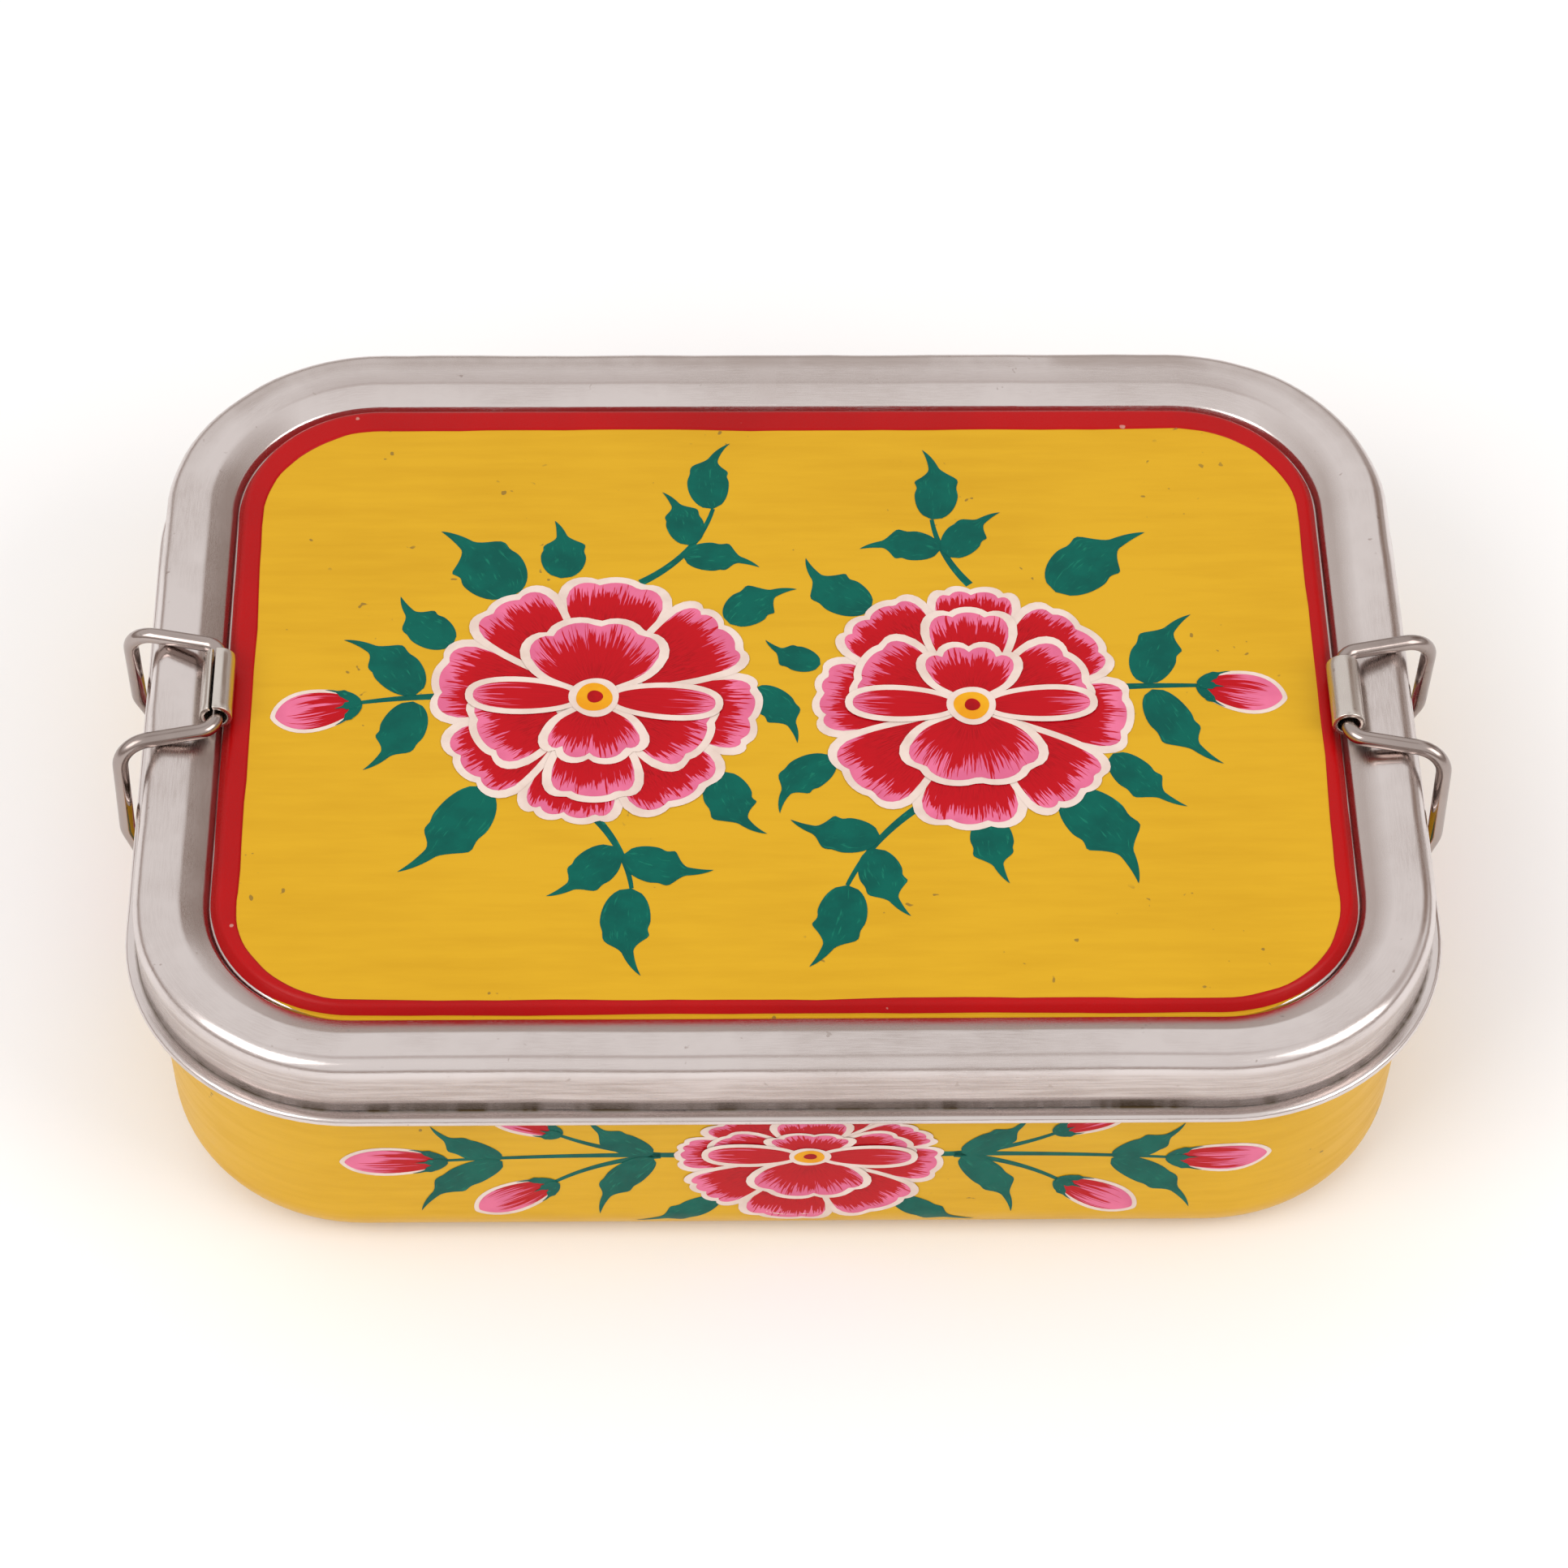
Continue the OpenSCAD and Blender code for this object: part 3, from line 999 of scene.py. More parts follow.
@dataclass
class Lid(Pressing):
    """Lift-off lid: skirt, shoulder, sloping ring and sunk panel, with its yellow coat and red band."""

    panel_edge_r: float = 0.9
    valley_r: float = 0.35
    fold: Triple = (20.9, 43.85, 0.8)
    bend_r: float = 2.5
    shoulder_r: float = 2.4
    shoulder_over: float = 0.46
    dent_fade: float = 3.0
    dent_height: float = 0.07
    dent_width: float = 0.05
    track_step: float = 0.4
    track_from: float = 0.5
    past_foot: int = 5
    yellow_in: float = 0.4
    yellow_sink: float = 0.03
    band_lift: float = 0.07
    band_sink: float = 0.02
    band_margin: float = 0.02
    band_right: float = 0.5
    band_back: float = 1.7
    band_front: float = 0.42
    inner_waver: float = 0.22
    outer_waver: float = 0.12

    def top_section(self) -> list[Vector]:
        """Section of the sheet's outside, from the panel's middle to the skirt's lower edge.

        Returns:
            The section's points.
        """
        z = self.sizes
        return rounded_path(
            [
                (0.0, z.panel_z, 0.0),
                (z.panel_rho, z.panel_z, self.panel_edge_r),
                (z.valley_rho, z.valley_z, self.valley_r),
                self.fold,
                (z.bend_rho, z.bend_z, self.bend_r),
                (z.lid_rho, z.crown_z + self.shoulder_over, self.shoulder_r),
                (z.lid_rho, z.skirt_z, 0.0),
            ]
        )

    def build(self) -> list[Piece]:
        """Makes the lid and its paint.

        Returns:
            The new pieces.
        """
        section = self.top_section()
        steel = self.shell("lid_pressing", filled_runs(section, 2.5), Finish.LID_STEEL, True)
        self.dent(steel)
        mark_around(steel, self.sizes)
        thicken(steel, self.sizes.sheet)
        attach(steel, "lid")
        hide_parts("lid")
        return [steel, self.yellow(section), self.red(section)]

    def dent(self, steel: Piece) -> None:
        """Pushes soft dents and ripples into the ring and the skirt.

        Args:
            steel: The lid's sheet.
        """
        s = self.sizes
        for vert in steel.data.vertices:
            along, rho = around_of(vert.co, s)
            if rho > s.valley_rho:
                share = min(1.0, (rho - s.valley_rho) / self.dent_fade)
                vert.co.z += self.dent_height * MM * share * wave(along, Wobble.RING_HEIGHT, s)
                pull = 1 + self.dent_width * wave(along, Wobble.RING_WIDTH, s) * share / s.lid_rho
                vert.co.x *= pull
                vert.co.y *= pull

    def track(self, section: list[Vector], lift: float) -> Track:
        """Path over the panel, down its slope and a few points past the valley, lifted off the sheet.

        Args:
            section: The sheet's section.
            lift: Distance off the sheet.

        Returns:
            The path.
        """
        dense = filled_runs(section, self.track_step)
        inner = [p for p in dense if self.track_from < p.x < self.sizes.bend_rho]
        foot = min(range(len(inner)), key=lambda k: inner[k].y)
        return Track(lifted(inner[: foot + self.past_foot], lift), self.sizes)

    def yellow(self, section: list[Vector]) -> Piece:
        """Makes the yellow coat, which ends under the red band, part of the way down the slope.

        Args:
            section: The sheet's section.

        Returns:
            The yellow coat.
        """
        s = self.sizes
        track = self.track(section, s.coat)
        path = [Vector((0.0, s.panel_z + s.coat))] + track.path
        coat = self.shell("lid_yellow_coat", path, Finish.YELLOW, True)
        edge = track.at_rho(s.panel_rho - self.yellow_in)

        def slide(along: float, out: Vector, run: float) -> float:
            """Pulls the coat's edge half-way back up the slope, except at the front."""
            pulled = 0.5 - 0.5 * max(0.0, -out.y) ** 2
            return -max(0.0, run - edge) * pulled

        track.slide(coat, slide)
        thicken(coat, s.coat + self.yellow_sink)
        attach(coat, "lid")
        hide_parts("lid_enamel")
        return coat

    def red(self, section: list[Vector]) -> Piece:
        """Makes the red band, hand-painted along the panel's edge and wider at the back.

        Args:
            section: The sheet's section.

        Returns:
            The red band.
        """
        s = self.sizes
        lift = s.coat + self.band_lift
        track = self.track(section, lift)
        first, last = track.at_rho(s.yellow_rho), track.length - self.band_margin
        path = [p for p, run in zip(track.path, track.runs) if first <= run <= last]
        band = self.shell("lid_red_band", path, Finish.RED, False)

        def slide(along: float, out: Vector, run: float) -> float:
            """Lets the band's two edges wander as a brush does."""
            inner = (last - run) / (last - first)
            bias = self.band_right * out.x - self.band_back * out.y
            front = self.band_front * max(0.0, -out.y) ** 3
            outer = self.outer_waver * (wave(along, Wobble.BAND_OUTER, s) - 0.8) - front
            waver = self.inner_waver * wave(along, Wobble.BAND_INNER, s)
            return inner * (bias + waver) + (1 - inner) * outer

        track.slide(band, slide)
        mark_around(band, s)
        thicken(band, lift - self.band_sink)
        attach(band, "lid")
        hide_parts("lid_red_border")
        return band


@dataclass
class Tray(Pressing):
    """Deep tray with a folded rim and a neck, and the yellow coat on its outside."""

    fold_r: float = 0.5
    rim_r: float = 0.68
    neck_foot_r: float = 0.45
    lip_share: float = 0.48
    lip_over: float = 0.35
    lip_depth: float = 1.0
    lip_foot: float = 1.3
    lip_r: float = 0.3
    inner_r: float = 0.4
    bare_low: float = 0.22
    bare_top: float = 0.3
    coat_sink: float = 0.04

    def outside(self) -> list[Triple]:
        """Corners of the outside of the tray, from the middle of the floor to the rim's underside."""
        s = self.sizes
        foot = (s.wall_low_rho, 0.0, s.floor_edge_r)
        return [(0.0, 0.0, 0.0), foot, (s.wall_top_rho, s.rim_low_z, self.fold_r)]

    def section(self) -> list[Vector]:
        """Closed section of the sheet, outside then inside, both ends at the corner's centre.

        Returns:
            The section's points.
        """
        s = self.sizes
        t = s.sheet
        top_r = t * self.lip_share
        neck_in = s.neck_rho - t
        lip_in = neck_in - self.lip_over
        corners = self.outside() + [
            (s.rim_rho, s.rim_low_z, self.rim_r),
            (s.rim_rho, s.rim_top_z, self.rim_r),
            (s.neck_rho, s.rim_top_z, self.neck_foot_r),
            (s.neck_rho, s.neck_top_z, top_r),
            (lip_in, s.neck_top_z, top_r),
            (lip_in, s.neck_top_z - self.lip_depth, self.lip_r),
            (neck_in, s.neck_top_z - self.lip_foot, self.lip_r),
            (neck_in, s.rim_low_z + t, self.inner_r),
            (s.wall_top_rho - t, s.rim_low_z + 0.1, self.inner_r),
            (s.wall_low_rho - t, t, s.floor_edge_r - t),
            (0.0, t, 0.0),
        ]
        return rounded_path(corners)

    def build(self) -> list[Piece]:
        """Makes the tray and its coat.

        Returns:
            The new pieces.
        """
        s = self.sizes
        bm = bmesh.new()
        sweep_round(bm, filled_runs(self.section(), 3.0), s)
        fill_middles(bm, s)
        bmesh.ops.recalc_face_normals(bm, faces=bm.faces)
        steel = to_object(bm, "tray_pressing", self.paints.get(Finish.TRAY_STEEL))
        mark_around(steel, s)
        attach(steel, "tray")
        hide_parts("tray")
        return [steel, self.coat()]

    def skin(self, lift: float) -> list[Vector]:
        """Outside of the wall from the floor's edge to the rim, lifted off the steel.

        Args:
            lift: Distance off the steel, in millimetres.

        Returns:
            The section's points, from the bottom up.
        """
        s = self.sizes
        top_z = s.rim_low_z - self.bare_top
        corners = self.outside()[:2] + [(s.wall_rho(top_z), top_z, 0.0)]
        path = filled_runs(rounded_path(corners, 4.0), 2.0)
        return lifted([p for p in path if p.y > self.bare_low], -lift)

    def coat(self) -> Piece:
        """Makes the yellow coat, from the floor's edge to just under the rim.

        Returns:
            The yellow coat.
        """
        s = self.sizes
        bm = bmesh.new()
        sweep_round(bm, self.skin(s.coat), s)
        face_up(bm, lambda c: Vector((c.x, c.y, 0)).normalized())
        coat = to_object(bm, "tray_yellow_coat", self.paints.get(Finish.YELLOW_WALL))
        thicken(coat, s.coat + self.coat_sink)
        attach(coat, "tray")
        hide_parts("tray_enamel")
        return coat


# ---------------------------------------------------------------------------
# Clips
# ---------------------------------------------------------------------------


class Side(Enum):
    """The two ends of the box, by the sign of X."""

    LEFT = -1
    RIGHT = 1


@dataclass
class Clip:
    """Wire clip at one end: the bent wire, its rolled sleeve and the strap that holds its hinge bar."""

    side: Side
    sizes: BoxSizes
    paints: Paints
    wire_r: float = 1.1
    leg_top: float = 10.4
    leg_low: float = 12.8
    knee: float = 6.0
    tight_bend: float = 2.7
    edge_bend: float = 4.2
    sleeve_r: float = 2.3
    sleeve_wall: float = 0.72
    sleeve_length: float = 11.0
    sleeve_edge: float = 0.12
    seam_deg: float = 14.0
    seam_turn: float = 100.0
    strap_sheet: float = 0.6
    strap_width: float = 14.0
    strap_foot: float = 8.0
    strap_edge: float = 0.1
    strap_bend: float = 0.7
    loop_slack: float = 0.06
    loop_steps: int = 28
    loop_step_deg: float = 11.5
    wire_gap: float = 0.25
    ring_points: int = 20
    hinge: Vector = field(init=False)
    grip: Vector = field(init=False)
    leg_x: float = field(init=False)

    def __post_init__(self) -> None:
        """Takes the hinge and the sleeve from the joints, and the legs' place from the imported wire."""
        places = {j["name"]: Vector(j["pos_m"]) / MM for j in frame["joints"] if "pos_m" in j}
        self.hinge = places[f"{self.label}_clip_swing"]
        self.grip = places[f"{self.label}_sleeve_turn"]
        low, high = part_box(f"{self.label}_bail")
        self.leg_x = (low.x if self.side is Side.LEFT else high.x) / MM - self.side.value * self.wire_r

    @property
    def label(self) -> str:
        """The side's name in the parts' names."""
        return self.side.name.lower()

    def wire_line(self) -> list[Vector]:
        """Centre line of the wire, from one end inside the sleeve round to the other.

        Returns:
            Points in millimetres.
        """
        g, h, x = self.grip, self.hinge, self.leg_x
        turn_y = self.sleeve_length / 2 + self.tight_bend * 0.78
        lean = (self.leg_low - self.leg_top) * self.knee / (g.z - h.z)
        half = [
            (Vector((g.x, self.wire_gap, g.z)), 0.0),
            (Vector((g.x, turn_y, g.z)), self.tight_bend),
            (Vector((x, self.leg_top, g.z)), self.edge_bend),
            (Vector((x, self.leg_low - lean, h.z + self.knee)), self.edge_bend),
            (Vector((h.x, self.leg_low, h.z)), self.tight_bend),
        ]
        loop = half + [(Vector((p.x, -p.y, p.z)), r) for p, r in reversed(half)]
        return [p + Vector((0, h.y, 0)) for p in self.bent(loop)]

    @staticmethod
    def bent(corners: list[tuple[Vector, float]]) -> list[Vector]:
        """Rounds a path in space with an arc at each inner corner.

        Args:
            corners: Corners, each with the radius of its bend.

        Returns:
            The rounded path.
        """
        out = [corners[0][0]]
        for (before, _), (here, radius), (after, _) in zip(corners, corners[1:], corners[2:]):
            back, ahead = (before - here).normalized(), (after - here).normalized()
            turn = math.pi - back.angle(ahead)
            reach = radius * math.tan(turn / 2)
            centre = here + (back + ahead).normalized() * radius / math.cos(turn / 2)
            arm = here + back * reach - centre
            axis = arm.cross(-back).normalized()
            steps = max(3, math.ceil(math.degrees(turn) / 8))
            out += [centre + Matrix.Rotation(turn * k / steps, 3, axis) @ arm for k in range(steps + 1)]
        out.append(corners[-1][0])
        return out

    def wire(self) -> Piece:
        """Makes the wire: a circle carried along its line.

        Returns:
            The wire.
        """
        line = self.wire_line()
        bm = bmesh.new()
        ring = bmesh.ops.create_circle(bm, segments=self.ring_points, radius=self.wire_r * MM)["verts"]
        heading = (line[1] - line[0]).normalized()
        turn = UP.rotation_difference(heading).to_matrix().to_4x4()
        bmesh.ops.transform(bm, verts=ring, matrix=Matrix.Translation(line[0] * MM) @ turn)
        edges = list({e for v in ring for e in v.link_edges})
        bmesh.ops.contextual_create(bm, geom=edges)
        for k in range(1, len(line)):
            ahead = (line[min(k + 1, len(line) - 1)] - line[k - 1]).normalized()
            ring, edges = pull_out(bm, edges)
            turn = heading.rotation_difference(ahead).to_matrix().to_4x4()
            move = Matrix.Translation(line[k] * MM) @ turn @ Matrix.Translation(-line[k - 1] * MM)
            bmesh.ops.transform(bm, verts=ring, matrix=move)
            heading = ahead
        bmesh.ops.contextual_create(bm, geom=edges)
        bmesh.ops.recalc_face_normals(bm, faces=bm.faces)
        piece = to_object(bm, f"{self.label}_clip_wire", self.paints.get(Finish.WIRE), 60.0)
        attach(piece, f"{self.label}_clip")
        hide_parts(f"{self.label}_bail")
        return piece

    def sleeve(self) -> Piece:
        """Makes the sleeve: a strip rolled round the wire, open along its seam.

        Returns:
            The sleeve.
        """
        bm = bmesh.new()
        start = bm.verts.new(Vector((self.sleeve_r, -self.sleeve_length / 2, 0)) * MM)
        sweep = math.radians(360 - self.seam_deg)
        centre = (0, -self.sleeve_length / 2 * MM, 0)
        bmesh.ops.spin(bm, geom=[start], cent=centre, axis=(0, 1, 0), angle=sweep, steps=48)
        edges = list(bm.edges)
        parts = 10
        for _ in range(parts):
            moved, edges = pull_out(bm, edges)
            bmesh.ops.translate(bm, verts=moved, vec=(0, self.sleeve_length / parts * MM, 0))
        face_up(bm, lambda c: Vector((c.x, 0, c.z)))
        turn = Matrix.Rotation(math.radians(self.seam_turn * self.side.value), 3, "Y")
        bmesh.ops.rotate(bm, verts=bm.verts, matrix=turn)
        bmesh.ops.translate(bm, verts=bm.verts, vec=self.grip * MM)
        piece = to_object(bm, f"{self.label}_grip_sleeve", self.paints.get(Finish.SLEEVE))
        thicken(piece, self.sleeve_wall)
        soften(piece, self.sleeve_edge)
        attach(piece, f"{self.label}_grip")
        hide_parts(f"{self.label}_sleeve")
        return piece

    def strap(self) -> Piece:
        """Makes the strap: a foot flat on the wall, a short web and a loop round the hinge bar.

        Returns:
            The strap.
        """
        s, sign = self.sizes, self.side.value
        loop_r = self.wire_r + self.loop_slack
        t = self.strap_sheet
        web_z = self.hinge.z - loop_r - t
        top_z, low_z = web_z + t, web_z + t - self.strap_foot
        corners = [
            (s.corner_x + s.wall_rho(low_z), low_z, 0.0),
            (s.corner_x + s.wall_rho(web_z), web_z, self.strap_bend),
            (abs(self.hinge.x), web_z, 0.0),
        ]
        path = rounded_path(corners, 15.0)
        centre = Vector((abs(self.hinge.x), self.hinge.z))
        for k in range(1, self.loop_steps + 1):
            arm = Vector((0, -(loop_r + t)))
            arm.rotate(Matrix.Rotation(math.radians(self.loop_step_deg * k), 2))
            path.append(centre + arm)
        bm = bmesh.new()
        y = self.hinge.y - self.strap_width / 2
        verts = [bm.verts.new((sign * p.x * MM, y * MM, p.y * MM)) for p in path]
        edges = [bm.edges.new(pair) for pair in zip(verts, verts[1:])]
        moved, _ = pull_out(bm, edges)
        bmesh.ops.translate(bm, verts=moved, vec=(0, self.strap_width * MM, 0))
        hinge = self.hinge * MM

        def out_of_loop(c: Vector) -> Vector:
            """Away from the hinge bar on the loop, and into the wall on the foot."""
            return c - Vector((hinge.x, c.y, hinge.z))

        face_up(bm, out_of_loop)
        piece = to_object(bm, f"{self.label}_hinge_strap", self.paints.get(Finish.STRAP))
        thicken(piece, t)
        soften(piece, self.strap_edge)
        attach(piece, "tray")
        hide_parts(f"{self.label}_bracket")
        return piece

    def build(self) -> list[Piece]:
        """Makes the clip.

        Returns:
            The new pieces.
        """
        return [self.wire(), self.sleeve(), self.strap()]


# ---------------------------------------------------------------------------
# Painted flowers
# ---------------------------------------------------------------------------


@dataclass(frozen=True)
class PanelGround:
    """The lid's flat panel as a ground to paint on; drawing coordinates are the panel's own X and Y."""

    sizes: BoxSizes
    body: str = "lid"

    def place(self, point: Vector, lift: float) -> Vector:
        """Turns a point of the drawing into a point over the panel.

        Args:
            point: Point of the drawing, in millimetres.
            lift: Height over the yellow paint, in millimetres.

        Returns:
            The point in metres.
        """
        return Vector((point.x, point.y, self.sizes.panel_z + self.sizes.coat + lift)) * MM


class WallGround:
    """One wall of the tray as a ground; x runs round the box from the wall's middle, y up its section."""

    def __init__(self, tray: Tray, face: int) -> None:
        """Sets out the wall.

        Args:
            tray: The tray whose yellow coat is painted on.
            face: Quarter turns from the front wall, seen from above, towards +X.
        """
        s = tray.sizes
        self.body = "tray"
        self.path = list(reversed(tray.skin(s.coat)))
        self.down = [0.0]
        for a, b in zip(self.path, self.path[1:]):
            self.down.append(self.down[-1] + (b - a).length)
        self.arc = s.wall_top_rho * math.pi / 2
        self.runs = [2 * s.corner_x, self.arc, 2 * s.corner_y, self.arc] * 2
        self.reach = (s.corner_x, s.corner_y)
        middles = [0.0, s.corner_x + self.arc + s.corner_y]
        self.start = middles[face % 2] + (sum(self.runs[:4]) if face >= 2 else 0.0) + s.corner_x

    def plan(self, along: float) -> tuple[Vector, Vector]:
        """Anchor and outward direction at a distance round the box.

        Args:
            along: Distance from the front wall's left end, in millimetres.

        Returns:
            The corner-centre line's point and the outward direction.
        """
        cx, cy = self.reach
        starts = [Vector((-cx, -cy)), Vector((cx, -cy)), Vector((cx, cy)), Vector((-cx, cy))]
        along %= sum(self.runs)
        for k, run in enumerate(self.runs):
            if along <= run:
                break
            along -= run
        turn = (k // 2) * math.pi / 2 - math.pi / 2
        if k % 2:
            turn += along / run * math.pi / 2
            anchor = starts[(k // 2 + 1) % 4]
        else:
            anchor = starts[k // 2] + Vector((-math.sin(turn), math.cos(turn))) * along
        return anchor, Vector((math.cos(turn), math.sin(turn)))

    def place(self, point: Vector, lift: float) -> Vector:
        """Turns a point of the drawing into a point over the wall's paint.

        Args:
            point: Point of the drawing; y is measured down from the rim, in negative millimetres.
            lift: Height over the paint, in millimetres.

        Returns:
            The point in metres.
        """
        depth = max(0.0, min(self.down[-1], -point.y))
        k = next(i for i, d in enumerate(self.down) if d >= depth or i == len(self.down) - 1)
        k = max(1, k)
        a, b = self.path[k - 1], self.path[k]
        spot = a.lerp(b, (depth - self.down[k - 1]) / (self.down[k] - self.down[k - 1]))
        run = (b - a).normalized()
        spot += Vector((-run.y, run.x)) * lift
        anchor, out = self.plan(self.start + point.x)
        flat = anchor + out * spot.x
        return Vector((flat.x, flat.y, spot.y)) * MM


@dataclass
class Brush:
    """Collects the shapes of one paint colour on one ground, and makes one piece of them."""

    UV_STEP = 3.7
    UV_MM = 20.0
    WELD = 0.003 * MM
    SMOOTH = 80.0

    ground: PanelGround | WallGround
    finish: Finish
    mesh: bmesh.types.BMesh = field(default_factory=bmesh.new)
    strokes: int = 0

    def stroke(
        self,
        shape: Formula,
        lift: float,
        across: int,
        along: int,
        width: float,
        hidden: float = 0.0,
    ) -> None:
        """Adds one shape: a grid moved by a formula.

        Args:
            shape: Point of the drawing for (u, t), u from -1 to 1 across and t from 0 to 1 along.
            lift: Height over the paint, in millimetres.
            across: Steps across.
            along: Steps along.
            width: Width of the shape for the brush marks, in millimetres.
            hidden: Share of its length, from the base, that other shapes cover.
        """
        bm = bmesh.new()
        bmesh.ops.create_grid(bm, x_segments=across, y_segments=along, size=1.0, calc_uvs=True)
        uv = bm.loops.layers.uv.verify()
        self.strokes += 1
        for loop in (loop for face in bm.faces for loop in face.loops):
            u, t = loop.vert.co.x, (loop.vert.co.y + 1) / 2
            across_uv = self.strokes * self.UV_STEP + u * width / self.UV_MM
            loop[uv].uv = (across_uv, (t - hidden) / (1 - hidden))
        for vert in bm.verts:
            vert.co = self.ground.place(shape(vert.co.x, (vert.co.y + 1) / 2), lift)
        bmesh.ops.remove_doubles(bm, verts=bm.verts, dist=self.WELD)
        bm.normal_update()
        centre = sum((f.calc_center_median() for f in bm.faces), Vector()) / len(bm.faces)
        normal = sum((f.normal * f.calc_area() for f in bm.faces), Vector())
        away = UP if self.ground.body == "lid" else Vector((centre.x, centre.y, -0.01))
        if normal.dot(away) < 0:
            bmesh.ops.reverse_faces(bm, faces=bm.faces)
        part = bpy.data.meshes.new("stroke")
        bm.to_mesh(part)
        bm.free()
        self.mesh.from_mesh(part)
        bpy.data.meshes.remove(part)

    def finish_piece(self, name: str, paints: Paints) -> Piece:
        """Makes one piece of all the shapes.

        Args:
            name: Name of the piece.
            paints: The finishes.

        Returns:
            The new piece.
        """
        piece = to_object(self.mesh, name, paints.get(self.finish), self.SMOOTH)
        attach(piece, self.ground.body)
        return piece


def polar(centre: Vector, angle: float, radius: float, squash: Pair = (1.0, 1.0)) -> Vector:
    """Point at an angle and a distance, flattened up and down.

    Args:
        centre: Centre of the flower.
        angle: Angle in radians.
        radius: Distance in millimetres.
        squash: Vertical scale above and below the centre.

    Returns:
        The point.
    """
    rise = math.sin(angle) * radius
    return centre + Vector((math.cos(angle) * radius, rise * (squash[0] if rise > 0 else squash[1])))


def bezier(a: Vector, b: Vector, c: Vector, t: float) -> tuple[Vector, Vector]:
    """Point and direction on a curve with one handle.

    Args:
        a: Start.
        b: Handle.
        c: End.
        t: Place on the curve, 0 to 1.

    Returns:
        The point and the unit direction.
    """
    spot = a * (1 - t) ** 2 + b * (2 * t * (1 - t)) + c * t * t
    way = (b - a) * (1 - t) + (c - b) * t
    return spot, way.normalized()


@dataclass(frozen=True)
class Petal:
    """A fan-shaped petal with a lobed edge."""

    LOBE_POWER = 0.6
    CORNER_POWER = 5
    LEAST_RADIUS = 3.0
    FOOT_WIDTH = 0.90
    BELLY = 0.10
    BELLY_RUN = 0.9

    angle: float
    half: float
    inner: float
    outer: float
    lobes: int = 3
    notch: float = 0.9
    round_off: float = 0.28
    sway: float = 0.0
    hidden: float = 0.0

    def shape(self, centre: Vector, grow: float, squash: Pair) -> Formula:
        """The petal's formula.

        Args:
            centre: Centre of the flower.
            grow: Distance to grow it by; negative insets it.
            squash: Vertical scale above and below the centre.

        Returns:
            The formula.
        """

        def at(u: float, t: float) -> Vector:
            """Point at (u, t) on the petal."""
            v = u + self.sway * math.cos(u * 2.3 + self.sway * 9) * (1 - u * u)
            lobe = abs(math.sin(self.lobes * math.pi * (v + 1) / 2)) ** self.LOBE_POWER
            rounding = self.round_off * (self.outer - self.inner) * abs(u) ** self.CORNER_POWER
            edge = self.outer - self.notch * (1 - lobe) - rounding
            radius = self.inner + (edge + grow - self.inner) * t
            half = self.half + grow / max(radius, self.LEAST_RADIUS)
            bulge = self.FOOT_WIDTH + self.BELLY * math.sin(math.pi * min(1.0, t * self.BELLY_RUN))
            return polar(centre, self.angle + u * half * bulge, radius, squash)

        return at


@dataclass(frozen=True)
class Blade:
    """A slim oval petal or a bud's petal along a straight line."""

    base: Vector
    tip: Vector
    half: float
    point: float = 0.0

    def shape(self, grow: float) -> Formula:
        """The blade's formula.

        Args:
            grow: Distance to grow it by.

        Returns:
            The formula.
        """
        way = (self.tip - self.base).normalized()
        side = Vector((-way.y, way.x))
        length = (self.tip - self.base).length

        def at(u: float, t: float) -> Vector:
            """Point at (u, t) on the blade."""
            turn = math.pi * t
            run = (1 - math.cos(turn)) / 2
            wide = math.sin(turn) ** (0.85 + self.point * run) * (1 - 0.25 * (1 - run))
            middle = self.base + way * (-grow + (length + 2 * grow) * run)
            return middle + side * (u * (self.half + grow) * wide)

        return at


@dataclass(frozen=True)
class Leaf:
    """A broad leaf with lobed sides and a drawn-out, curling tip."""

    SLIM = 0.88
    HANDLE_AT = 0.66
    HANDLE_BEND = 1.5
    BELLY_AT = 0.58
    FULLNESS = 0.85
    NECK_FROM = 0.44
    NECK_RUN = 0.22
    NECK_DEPTH = 0.66
    LOBE_AT = 0.49
    LOBE_SHIFT = 0.035
    LOBE_SIZE = 0.17
    LOBE_RUN = 0.045
    DIP_BEFORE = 0.11
    DIP_SIZE = 0.12
    DIP_RUN = 0.05

    base: Vector
    tip: Vector
    width: float = 3.6
    bend: float = 0.12
    phase: float = 0.0

    def shape(self) -> Formula:
        """The leaf's formula.

        Returns:
            The formula.
        """
        run = self.tip - self.base
        aside = Vector((-run.y, run.x)) * self.bend * self.HANDLE_BEND
        handle = self.base + run * self.HANDLE_AT + aside

        def at(u: float, t: float) -> Vector:
            """Point at (u, t) on the leaf."""
            spot, way = bezier(self.base, handle, self.tip, t)
            side = Vector((-way.y, way.x))
            body = math.sin(math.pi * t**self.BELLY_AT) ** self.FULLNESS
            fall = max(0.0, min(1.0, (t - self.NECK_FROM) / self.NECK_RUN))
            neck = 1 - self.NECK_DEPTH * fall * fall * (3 - 2 * fall)
            knot = self.LOBE_AT + self.LOBE_SHIFT * math.sin(self.phase + (1.9 if u > 0 else 0.0))
            lobe = self.LOBE_SIZE * math.exp(-(((t - knot) / self.LOBE_RUN) ** 2))
            dip = self.DIP_SIZE * math.exp(-(((t - knot + self.DIP_BEFORE) / self.DIP_RUN) ** 2))
            return spot + side * (u * self.width * self.SLIM * (body * neck + (lobe - dip) * (1 - t)))

        return at


